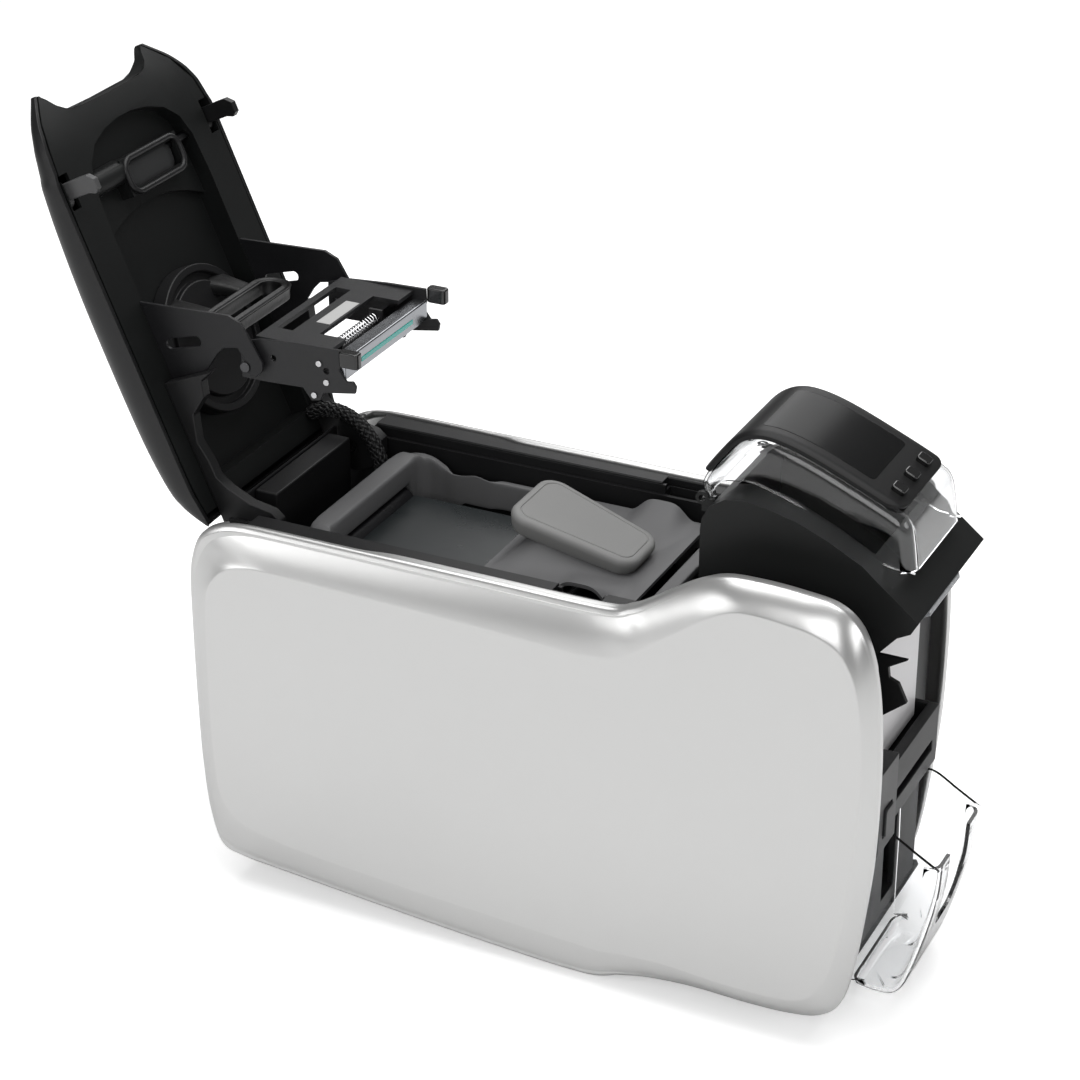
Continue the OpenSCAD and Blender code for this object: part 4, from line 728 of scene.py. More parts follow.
def carried_round(ring: Array, outward: Array, section: Array,
                  middle: tuple[float, float, float]) -> Array:
    """Carries a section round a flat ring.

    Args:
        ring: the ring's points about its middle.
        outward: the directions outwards from it.
        section: the section's points, outwards and upwards.
        middle: where the ring's middle is.

    Returns:
        An array of ring points by section points by three.
    """
    flat = np.array(middle[:2]) + ring[:, None] + outward[:, None] * section[None, :, :1]
    high = middle[2] + np.broadcast_to(section[:, 1], flat.shape[:2])
    return np.concatenate([flat, high[..., None]], -1)


def soften(piece: bpy.types.Object, width: float, segments: int = 2,
           angle: float = SHARP) -> bpy.types.Object:
    """Rounds the sharp edges of a piece.

    Args:
        piece: what is rounded.
        width: the rounding, in millimetres.
        segments: steps across each edge.
        angle: edges that bend more than this are rounded.

    Returns:
        The same piece.
    """
    rounding = piece.modifiers.new("rounding", "BEVEL")
    rounding.width = width * MM
    rounding.segments = segments
    rounding.limit_method = "ANGLE"
    rounding.angle_limit = math.radians(angle)
    rounding.harden_normals = True
    rounding.miter_outer = "MITER_ARC"
    return piece


def place(piece: bpy.types.Object, body: str, finish: Finish, *nodes: str) -> bpy.types.Object:
    """Rides a finished piece on its body and hides the solids it stands for.

    Args:
        piece: the new piece.
        body: the moving body that carries it.
        finish: its finish; not used.
        *nodes: the solids that it replaces.

    Returns:
        The same piece.
    """
    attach(piece, body)
    if nodes:
        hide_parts(*nodes)
    LOG.info("%s rides on %s", piece.name, body)
    return piece


def rounded_copy(node: str, body: str, finish: Finish, width: float = 0.4, segments: int = 2,
                 name: Optional[str] = None, side: int = 0) -> bpy.types.Object:
    """Makes a copy of a solid with its seams merged and its edges rounded, in its place.

    Args:
        node: the solid's name.
        body: the body that it belongs to.
        finish: what the copy is finished in.
        width: the rounding, in millimetres.
        segments: steps across each edge.
        name: the new piece's name, or none for the solid's own with an ending.
        side: -1 or 1 to keep only the near or the far half of a pair, 0 for all.

    Returns:
        The new piece.
    """
    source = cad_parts[node].data
    points = np.zeros(len(source.vertices) * 3)
    source.vertices.foreach_get("co", points)
    corners = [tuple(face.vertices) for face in source.polygons]
    mesh = bpy.data.meshes.new(name or node + "_finished")
    mesh.from_pydata(points.reshape(-1, 3).tolist(), [], corners)
    shape = bmesh.new()
    shape.from_mesh(mesh)
    if side:
        other = [v for v in shape.verts if v.co.y * side < 0]
        bmesh.ops.delete(shape, geom=other, context="VERTS")
    bmesh.ops.remove_doubles(shape, verts=shape.verts, dist=2e-6)
    bmesh.ops.dissolve_limit(shape, angle_limit=math.radians(0.6), verts=shape.verts,
                             edges=shape.edges)
    shape.to_mesh(mesh)
    shape.free()
    piece = soften(finished(mesh, finish, SHARP), width, segments)
    return place(piece, body, finish, node)


def dress(node: str, finish: Finish) -> None:
    """Gives a solid that stays as it is its finish.

    Args:
        node: the solid's name.
        finish: what it is finished in.
    """
    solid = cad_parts[node]
    solid.data.materials.clear()
    solid.data.materials.append(finish.build())
    LOG.info("%s is finished in %s", node, finish.name)


def round_each(body: str, table: Sequence[tuple[str, Finish, float, int]]) -> None:
    """Makes a rounded copy of each solid of a table.

    Args:
        body: the body that carries them.
        table: each solid's name, its finish, the rounding in millimetres and its steps.
    """
    for node, finish, width, segments in table:
        rounded_copy(node, body, finish, width, segments)


def shelf_line(x: Array, rear: float = 68.2, front: float = 65.4, middle: float = 99.0,
               spread: float = 7.0) -> Array:
    """Finds how far in the rim's shelf reaches: half of one plus a tanh, from rear to front.

    Args:
        x: places along the body.
        rear: its reach at the rear.
        front: its reach at the front.
        middle: where it is half way between them.
        spread: how fast it changes there.

    Returns:
        The shelf's distance from the middle at each place.
    """
    return rear + (front - rear) * (0.5 + 0.5 * np.tanh((x - middle) / spread))


@dataclass
class SidePanels:
    """The two satin side panels, each a thin pan with a rim, a slanted band and a flat face."""

    length: float = 341.0
    height: float = 223.0
    face_y: float = 79.0
    crest_y: float = 71.5
    wall: float = 2.6
    shelf_z: float = 192.9
    wrap_y: float = 66.0
    far_short: float = 16.0
    hump_share: float = 0.62
    count: int = 560
    round: float = 2.2
    ramp_from: float = 205.0
    ramp_to: float = 262.0
    ramp_deep: float = 1.5
    band_slopes: tuple[float, float] = (50.0, 20.0)
    inner_lift: float = 1.0
    rim_edge: tuple[tuple[float, float], ...] = (
        (2.6, 0.4), (2.2, 0.0), (0.5, 0.0), (0.12, 0.15), (0.0, 0.5))
    round_turns: tuple[float, ...] = (15.0, 30.0)
    band_start: tuple[float, float] = (0.36, 0.23)
    crest_shares: tuple[tuple[float, float], ...] = (
        (0.029, 0.076), (0.065, 0.056), (0.141, 0.045), (0.299, 0.025), (0.457, 0.008),
        (0.598, 0.000), (0.651, 0.020), (0.692, 0.034), (0.757, 0.042), (0.836, 0.040),
        (0.897, 0.044), (0.938, 0.059), (0.965, 0.099), (0.979, 0.184), (0.990, 0.314),
        (0.998, 0.448), (1.000, 0.605), (0.998, 0.717), (0.992, 0.816), (0.981, 0.892),
        (0.963, 0.951), (0.933, 0.985), (0.886, 0.996), (0.833, 1.000), (0.786, 0.996),
        (0.751, 0.976), (0.718, 0.946), (0.686, 0.913), (0.657, 0.888), (0.616, 0.874),
        (0.440, 0.874), (0.264, 0.874), (0.129, 0.874), (0.082, 0.871), (0.050, 0.859),
        (0.023, 0.832), (0.008, 0.785), (0.001, 0.717), (0.000, 0.574), (0.001, 0.404),
        (0.004, 0.269), (0.012, 0.152))
    crease_shares: tuple[tuple[float, float], ...] = (
        (0.059, 0.182), (0.088, 0.157), (0.164, 0.136), (0.305, 0.118), (0.452, 0.105),
        (0.587, 0.094), (0.628, 0.091), (0.669, 0.099), (0.733, 0.105), (0.809, 0.100),
        (0.880, 0.100), (0.918, 0.112), (0.941, 0.145), (0.959, 0.215), (0.971, 0.327),
        (0.979, 0.453), (0.985, 0.605), (0.983, 0.717), (0.976, 0.807), (0.965, 0.865),
        (0.946, 0.912), (0.915, 0.937), (0.880, 0.946), (0.839, 0.951), (0.806, 0.946),
        (0.774, 0.922), (0.739, 0.883), (0.704, 0.843), (0.669, 0.805), (0.616, 0.776),
        (0.440, 0.783), (0.270, 0.789), (0.152, 0.793), (0.111, 0.793), (0.079, 0.783),
        (0.056, 0.758), (0.041, 0.722), (0.035, 0.673), (0.033, 0.565), (0.033, 0.413),
        (0.036, 0.305), (0.042, 0.229))

    def outline(self, shares: Sequence[Sequence[float]], cut: float) -> Array:
        """Turns an outline's shares into millimetres, its front drawn back past the hump.

        Args:
            shares: the outline in shares of the panel's length and height.
            cut: how far the foremost point is drawn back. Behind it the amount falls evenly.

        Returns:
            The outline's points.
        """
        p = np.array(shares) * [self.length, self.height]
        push = np.clip((p[:, 0] / self.length - self.hump_share) / (1 - self.hump_share), 0, 1)
        return np.stack([p[:, 0] - cut * push, p[:, 1]], axis=-1)

    def rim_inner(self, crest: Array) -> Array:
        """Finds how far in the rim reaches: the shelf's line on top, one depth elsewhere.

        Args:
            crest: the crest's points.

        Returns:
            The rim's distance from the middle at each point.
        """
        return np.where(crest[:, 1] < self.shelf_z, self.wrap_y, shelf_line(crest[:, 0]))

    def face_at(self, x: Array) -> Array:
        """Returns how far out the flat face lies at x.

        Its front part is flush. Behind it a ramp falls with the square of the distance to the
        lower rear part.
        """
        t = np.clip((x - self.ramp_from) / (self.ramp_to - self.ramp_from), 0, 1)
        return self.face_y - self.ramp_deep * (1 - t ** 2)

    def build(self, side: int, cut: float, name: str, node: str) -> bpy.types.Object:
        """Makes one panel from rings that run round its outline.

        The rings go from the middle of the inside to the rim, over the crest, down the slanted
        band and on to the middle of the face. The band is an arc whose slope falls evenly from
        the crest to the crease, and the crease stays between it and the face.

        Args:
            side: -1 for the near panel, 1 for the far one.
            cut: how far its front is drawn back.
            name: the piece's name.
            node: the solid that it replaces.

        Returns:
            The new piece.
        """
        low, high = np.array([0.0, 0.0]), np.array([self.length - cut, self.height])
        crest, crease = (smooth_line(self.outline(shares, cut), self.count, True)
                         for shares in (self.crest_shares, self.crease_shares))
        crest = np.clip(crest, low, high)
        middle = crease.mean(0)
        crease_in = inset(crease, self.wall)
        rim = self.rim_inner(crest)
        rings = []

        def ring(line: Array, y: object) -> None:
            """Adds one ring at the given distance from the middle."""
            rings.append(upright(line, np.asarray(y, float) * side))

        for share in (0.3, 0.6, 1.0):
            line = middle + (crease_in - middle) * share
            ring(line, self.face_at(line[:, 0]) - self.wall)
        ring(inset(crest, self.wall), self.crest_y + self.inner_lift)
        for depth, lift in self.rim_edge:
            ring(inset(crest, depth), rim + lift)
        ring(crest, self.crest_y - self.round)
        for turn in self.round_turns:
            a = math.radians(turn)
            ring(inset(crest, self.round * (1 - math.cos(a))),
                 self.crest_y - self.round * (1 - math.sin(a)))
        slopes = np.radians(np.linspace(*self.band_slopes, 20))
        down = np.concatenate([[0.0], np.cumsum(np.cos(slopes))])
        out = np.concatenate([[0.0], np.cumsum(np.sin(slopes))])
        start = inset(crest, self.round * self.band_start[0])
        start_y = self.crest_y - self.round * self.band_start[1]
        for d, o in zip(down / down[-1], out / out[-1]):
            line = start + (crease - start) * d
            ring(line, start_y + (self.face_at(line[:, 0]) - start_y) * o)
        for share in np.concatenate([[0.993], np.linspace(0.97, 0.02, 40)]):
            line = middle + (crease - middle) * share
            ring(line, self.face_at(line[:, 0]))
        piece = rings_object(name, AT.body(np.array(rings)), SILVER, 50.0)
        return place(piece, "chassis", SILVER, node)

    def dress(self) -> None:
        """Builds both panels."""
        self.build(-1, 0.0, "near_panel", "side_panel_near")
        self.build(1, self.far_short, "far_panel", "side_panel_far")


@dataclass
class Lid:
    """The open lid: its black shell, the liner with its recess, arms, brackets and latch."""

    reach: float = 217.0
    half: float = 66.0
    rise: float = 28.5
    wall: float = 2.2
    edge: float = 12.5
    roundness: float = 3.2
    table_points: int = 160
    top_shares: tuple[tuple[float, float], ...] = (
        (0.035, 0.105), (0.041, 0.246), (0.060, 0.491), (0.092, 0.719), (0.138, 0.860),
        (0.221, 0.965), (0.313, 1.000), (0.452, 1.000), (0.590, 0.965), (0.728, 0.860),
        (0.820, 0.737), (0.889, 0.625), (0.949, 0.572), (1.000, 0.561))
    low_shares: tuple[tuple[float, float], ...] = (
        (0.000, 0.00), (0.840, 0.00), (0.880, 0.02), (0.920, 0.08), (0.960, 0.19), (1.000, 0.33))
    half_shares: tuple[tuple[float, float], ...] = (
        (0.035, 0.950), (0.055, 0.958), (0.092, 0.980), (0.157, 1.000), (0.480, 1.000),
        (0.806, 1.000), (0.830, 0.986), (0.862, 0.970), (0.899, 0.940), (0.949, 0.848),
        (1.000, 0.680))
    front_shares: tuple[tuple[float, float], ...] = (
        (0.00, 0.945), (0.50, 0.947), (0.62, 0.954), (0.78, 0.972), (0.90, 0.991), (0.96, 1.000),
        (1.00, 1.000))
    loop_at: tuple[float, float, float] = (-26.4, 0.0, 7.4)
    loop_halves: tuple[float, float] = (7.75, 29.75)
    loop_corner: float = 7.0
    loop_section: tuple[tuple[float, float], ...] = (
        (-1.6, -3.4), (0.4, -3.5), (1.5, -3.0), (1.7, 0.0), (2.1, 2.2), (2.5, 3.1), (2.2, 3.5),
        (1.4, 3.5), (0.4, 2.9), (-0.6, 3.1), (-1.5, 3.5), (-2.2, 3.4), (-2.3, 2.4), (-2.0, 0.0),
        (-2.1, -3.0))
    leg_at: tuple[float, float, float] = (-34.8, 17.0, 7.2)
    leg_run: tuple[float, float, float] = (-21.0, 2.0, 0.6)
    leg_section: tuple[float, float] = (5.6, 3.1)
    leg_flare: float = 0.5
    pod_at: tuple[float, float] = (166.0, 6.5)
    pod_halves: tuple[float, float] = (8.2, 22.6)
    pod_corner: float = 6.5
    lip_radius: float = 1.5
    lip_lift: float = 0.6
    lever_steps: tuple[tuple[float, float], ...] = (
        (0.3, 2.2), (0.6, 2.4), (0.8, 3.0), (0.86, 4.0), (0.86, 6.5))

    def table(self, shares: Sequence[Sequence[float]], high: float) -> Array:
        """Returns a smoothed line of shares in millimetres, its first column growing."""
        line = smooth_line(np.array(shares) * [self.reach, high], self.table_points)
        return line[np.argsort(line[:, 0])]

    def section(self, count: int) -> tuple[Array, Array]:
        """Makes the cross-section's sideways and upward shares.

        With angles from -90 to 90 degrees, sideways is the sine and upward the cosine, each
        raised to two over the roundness.

        Args:
            count: how many points it has.

        Returns:
            The sideways and the upward shares.
        """
        a = np.linspace(-np.pi / 2, np.pi / 2, count)
        power = 2 / self.roundness
        return squared(np.sin(a), power), squared(np.cos(a), power)

    def skin(self, start: float, thick: float, tops: Array, along: int, across: int) -> Array:
        """Returns a grid of lid points: stations along the lid by points across it.

        Args:
            start: where the skin starts behind the hinge line.
            thick: how far inside the outer face it lies.
            tops: the crown line.
            along: number of stations.
            across: number of points across.

        Returns:
            An array of stations by points by three.
        """
        side, up = self.section(across)
        front = self.reach * np.interp(np.abs(side), *np.array(self.front_shares).T)
        f = np.linspace(0, 1, along)[:, None] ** 1.15
        x = start + f * (front[None, :] - start)
        halves = self.table(self.half_shares, self.half)
        lows = np.array(self.low_shares) * [self.reach, self.rise]
        low = self.edge + np.interp(x, lows[:, 0], lows[:, 1])
        top = self.edge + np.interp(x, tops[:, 0], tops[:, 1])
        y = side[None, :] * (np.interp(x, halves[:, 0], halves[:, 1]) - thick)
        return np.stack([x, y, low + (top - low) * up[None, :]], axis=-1)

    def shell(self) -> bpy.types.Object:
        """Makes the outer shell from an outer and an inner skin and rounds its edge.

        Returns:
            The new piece.
        """
        tops = self.table(self.top_shares, self.rise)
        inner = inset(tops, -self.wall, closed=False)
        inner = inner[np.argsort(inner[:, 0])]
        start = self.top_shares[0][0] * self.reach
        outer = self.skin(start, 0.0, tops, 120, 121)
        inside = self.skin(start + self.wall, self.wall, inner, 120, 121)
        piece = shell_object("lid_outer_shell", AT.lid(outer), AT.lid(inside), SHELL)
        return place(soften(piece, 0.45, 2, 50.0), "lid", SHELL, "lid_shell")

    def loop(self) -> bpy.types.Object:
        """Makes the rubber cable loop: a section with a flared lip carried round a long ring.

        Returns:
            The new piece.
        """
        ring, outward = long_ring(self.loop_halves, self.loop_corner, 120)
        points = carried_round(ring, outward, smooth_line(self.loop_section, 40, True),
                               self.loop_at)
        hoop = hoop_object("cable_loop_ring", AT.head(points), LOOP)
        for side, label in ((-1, "near"), (1, "far")):
            self.loop_leg(side, "cable_loop_leg_" + label)
        return place(hoop, "lid", LOOP, "cable_loop")

    def loop_leg(self, side: int, name: str) -> bpy.types.Object:
        """Makes one leg of the loop: a squared oval that widens towards the liner.

        With t from 0 to 1 along the leg, its middle runs straight and rises by a sine, and the
        oval grows by the flare times t squared.

        Args:
            side: -1 for the near leg, 1 for the far one.
            name: the piece's name.

        Returns:
            The new piece.
        """
        a, t = full_turn(32), np.linspace(0, 1, 16)[:, None]
        wide, high = squared(np.cos(a), 0.6), squared(np.sin(a), 0.6)
        grow = 1 + self.leg_flare * t * t
        start, run = self.leg_at, self.leg_run
        x = start[0] + run[0] * t
        y = side * (start[1] + run[1] * t) + self.leg_section[0] * grow * wide
        z = start[2] + run[2] * np.sin(np.pi * t) + self.leg_section[1] * grow * high
        rings = np.stack(np.broadcast_arrays(x, y, z), -1)
        return place(rings_object(name, AT.head(rings), LOOP), "lid", LOOP)

    def pod_ring(self) -> None:
        """Adds the round lip of the grip pod and the lever inside it.

        The lip is a circle carried round a rounded rectangle. The lever is a low dome over the
        same rectangle made smaller.
        """
        plan, outward = long_ring(self.pod_halves, self.pod_corner, 96)
        b = full_turn(20)
        circle = self.lip_radius * np.stack([np.cos(b), np.sin(b)], -1)
        points = carried_round(plan, outward, circle, (*self.pod_at, self.edge + self.lip_lift))
        place(hoop_object("pod_lip", AT.lid(points), SHELL), "lid", SHELL)
        rings = [np.column_stack([self.pod_at + plan * share, np.full(len(plan), self.edge + lift)])
                 for share, lift in self.lever_steps]
        place(rings_object("pod_lever", AT.lid(np.array(rings)), LEVER), "lid", LEVER)

    def dress(self) -> None:
        """Builds the lid's pieces and finishes its solids."""
        self.shell()
        round_each("lid", (("lid_liner", LINER, 0.35, 2), ("lid_spool_cover", TRIM, 0.8, 3)))
        for side in ("near", "far"):
            round_each("lid", (("lid_arm_" + side, TRIM, 0.7, 3),
                               ("head_bracket_" + side, BRACKET, 0.35, 2)))
        self.loop()
        rounded_copy("head_pivot_pins", "lid", PIN_STEEL, 0.4, 2)
        rounded_copy("latch_hooks", "latch", HOOK_GREY, 0.9, 3, "near_hook", -1)
        rounded_copy("latch_hooks", "latch", SHELL, 1.1, 3, "far_hook", 1)
        self.pod_ring()
        dress("latch_shaft", PIN_STEEL)


@dataclass
class PrintHead:
    """The print head that hangs under the lid: plates, bridge, bar, spring, knobs and label."""

    rounded: tuple[tuple[str, Finish, float, int], ...] = (
        ("head_plate_near", PLATE, 0.3, 2), ("head_plate_far", PLATE, 0.3, 2),
        ("head_bridge", PLATE, 0.5, 3), ("head_bar", BAR_STEEL, 0.8, 3),
        ("head_knobs", KNOB, 0.9, 3), ("head_screws", STEEL, 0.25, 2))

    def dress(self) -> None:
        """Finishes the head's pieces."""
        round_each("head", self.rounded)
        for node, finish in (("print_strip", TEAL), ("head_spring", STEEL),
                             ("head_label", LABEL)):
            dress(node, finish)


@dataclass
class Cartridge:
    """The lift-out ribbon cartridge: grey frame, handle, film and two rolls."""

    handle_middle: tuple[float, float] = (171.3, 195.4)
    handle_long: float = 64.0
    rear_half: float = 22.0
    front_half: float = 17.0
    corner: float = 10.0
    slope: float = 16.0
    frame_ends: tuple[float, float] = (49.0, 223.0)
    frame_half: float = 50.0
    rail: float = 3.8
    top_z: float = 187.9
    frame_corners: tuple[float, float] = (11.0, 6.0)
    crossbars: tuple[float, float] = (12.0, 7.0)
    frame_deep: float = 12.0
    rail_from: float = 34.0
    rail_blend: float = 8.0
    waist: tuple[float, float, float, float] = (73.0, 79.0, 98.5, 104.5)
    waist_deep: tuple[float, float] = (4.12, 3.08)
    top_fall: tuple[float, float, float] = (7.6, 60.0, 79.0)
    swell: tuple[float, float, float] = (1.6, 91.0, 5.0)
    side_drop: tuple[float, float, float] = (1.6, 43.5, 46.0)
    side_drop_ends: tuple[float, float] = (60.0, 70.0)
    skirt_top: tuple[float, float, tuple[float, float], float] = (150.0, 196.0, (17.0, 13.5), 9.0)
    skirt_foot: tuple[float, float, tuple[float, float], float] = (136.5, 212.0, (46.2, 46.2), 8.0)
    skirt_z: float = 181.5
    skirt_wall: float = 1.8
    skirt_under: float = 8.5
    skirt_power: float = 2.4
    arch: tuple[float, float, float] = (8.0, 189.0, 12.0)
    handle_profile: tuple[tuple[float, float], ...] = (
        (8.0, -10.0), (3.4, -10.0), (2.4, -9.7), (1.8, -8.8), (0.8, -6.0), (0.1, -3.6),
        (0.0, -2.8), (0.2, -1.6), (0.8, -0.6), (1.6, -0.15), (2.6, 0.0), (3.6, 0.0),
        (3.75, -0.3), (4.0, -0.4), (4.25, -0.3), (4.4, 0.0), (8.0, 0.0))
    low_line: tuple[tuple[float, float], ...] = (
        (49.0, 152.0), (72.0, 152.0), (84.0, 166.0), (168.0, 166.0), (176.0, 150.0),
        (196.0, 150.0), (206.0, 168.0), (223.0, 175.0))

    def frame(self) -> bpy.types.Object:
        """Makes the cartridge's frame: a squared round section carried round its plan.

        The section lies between an outer and an inner plan. Its top falls by a smooth step
        past the rear crossbar, swells in a bell curve after that and drops at the rear
        corners. Its underside follows a table along the rails. The rails step inwards at the
        waist, where the lid's arms come down beside them.

        Returns:
            The new piece.
        """
        (rear, front), half = self.frame_ends, self.frame_half
        inside = half - self.rail
        outer = rounded_plan(rear, front, (half, half), self.frame_corners[0])
        inner = rounded_plan(rear + self.crossbars[0], front - self.crossbars[1],
                             (inside, inside), self.frame_corners[1])
        a = full_turn(28)
        u, v = 0.5 - 0.5 * squared(np.cos(a), 0.3), 0.5 + 0.5 * squared(np.sin(a), 0.3)
        line = outer[:, None, :] + (inner - outer)[:, None, :] * u[None, :, None]
        x, y = line[..., 0], line[..., 1]
        rails = np.clip((np.abs(y) - self.rail_from) / self.rail_blend, 0, 1)
        step_in = (smooth_step(x, *self.waist[:2]) * (1 - smooth_step(x, *self.waist[2:]))
                   * rails)
        y = y - np.sign(y) * step_in * (self.waist_deep[0] - self.waist_deep[1] * u[None, :])
        fall, swell, drop = self.top_fall, self.swell, self.side_drop
        top = (self.top_z - fall[0] * smooth_step(x, *fall[1:])
               + swell[0] * np.exp(-((x - swell[1]) / swell[2]) ** 2))
        top = top - (drop[0] * smooth_step(np.abs(y), *drop[1:])
                     * (1 - smooth_step(x, *self.side_drop_ends)))
        low = np.interp(x, *np.array(self.low_line).T)
        low = self.top_z - self.frame_deep + (low - self.top_z + self.frame_deep) * rails
        z = low + (top - low) * v[None, :]
        piece = hoop_object("cartridge_ring", AT.body(np.stack([x, y, z], -1)), FRAME_GREY)
        return place(piece, "cartridge", FRAME_GREY, "cartridge_frame")

    def skirt(self) -> bpy.types.Object:
        """Makes the flared skirt from the handle down to the rails.

        It is a loft between a small plan under the handle and a wide plan on the rails. Its
        height falls as one minus (1 - t) to a power, and a bell curve lifts its two side
        edges into an arch over the full roll.

        Returns:
            The new piece.
        """
        high, wide = rounded_plan(*self.skirt_top), rounded_plan(*self.skirt_foot)
        t = np.linspace(0, 1, 18)[:, None]
        line = high + (wide - high) * t[..., None]
        x, y = line[..., 0], line[..., 1]
        turn = math.tan(math.radians(self.slope))
        head = self.handle_middle[1] - (x - self.handle_middle[0]) * turn - self.skirt_under
        fall = 1 - (1 - t) ** self.skirt_power
        side = np.clip(np.abs(y) / self.skirt_foot[2][0], 0, 1) ** 2
        rise, middle, spread = self.arch
        arch = rise * np.exp(-((x - middle) / spread) ** 4) * side * t
        top = np.stack([x, y, head + (self.skirt_z - head) * fall + arch], -1)
        rings = np.concatenate([top - [0.0, 0.0, self.skirt_wall], top[::-1]])
        piece = rings_object("handle_skirt", AT.body(rings), FRAME_GREY, 50.0)
        return place(piece, "cartridge", FRAME_GREY)

    def handle_outline(self, count: int) -> Array:
        """Makes the handle's plan about its middle.

        Args:
            count: how many points it has.

        Returns:
            The plan's points, even in length along it.
        """
        long_half = self.handle_long / 2
        outline = rounded_plan(-long_half, long_half, (self.rear_half, self.front_half),
                               self.corner, 20, 24)
        return even_steps(np.vstack([outline, outline[:1]]), count, True)

    def handle(self) -> bpy.types.Object:
        """Makes the handle from rings of its plan, each inset and raised along one profile.

        Returns:
            The new piece.
        """
        plan = self.handle_outline(240)
        turn = math.radians(self.slope)
        rings = []
        for depth, z in self.handle_profile:
            line = inset(plan, depth)
            x = self.handle_middle[0] + line[:, 0] * math.cos(turn) + z * math.sin(turn)
            high = self.handle_middle[1] - line[:, 0] * math.sin(turn) + z * math.cos(turn)
            rings.append(np.stack([x, line[:, 1], high], -1))
        piece = rings_object("handle_cap", AT.body(np.array(rings)), HANDLE_GREY, 60.0)
        return place(piece, "cartridge", HANDLE_GREY, "cartridge_handle")

    def dress(self) -> None:
        """Builds the cartridge's pieces."""
        self.frame()
        self.skirt()
        self.handle()
        dress("ribbon_film", FILM)
        rounded_copy("full_spool", "full_roll", ROLL, 0.3, 2)
        rounded_copy("used_spool", "used_roll", ROLL, 0.3, 2)


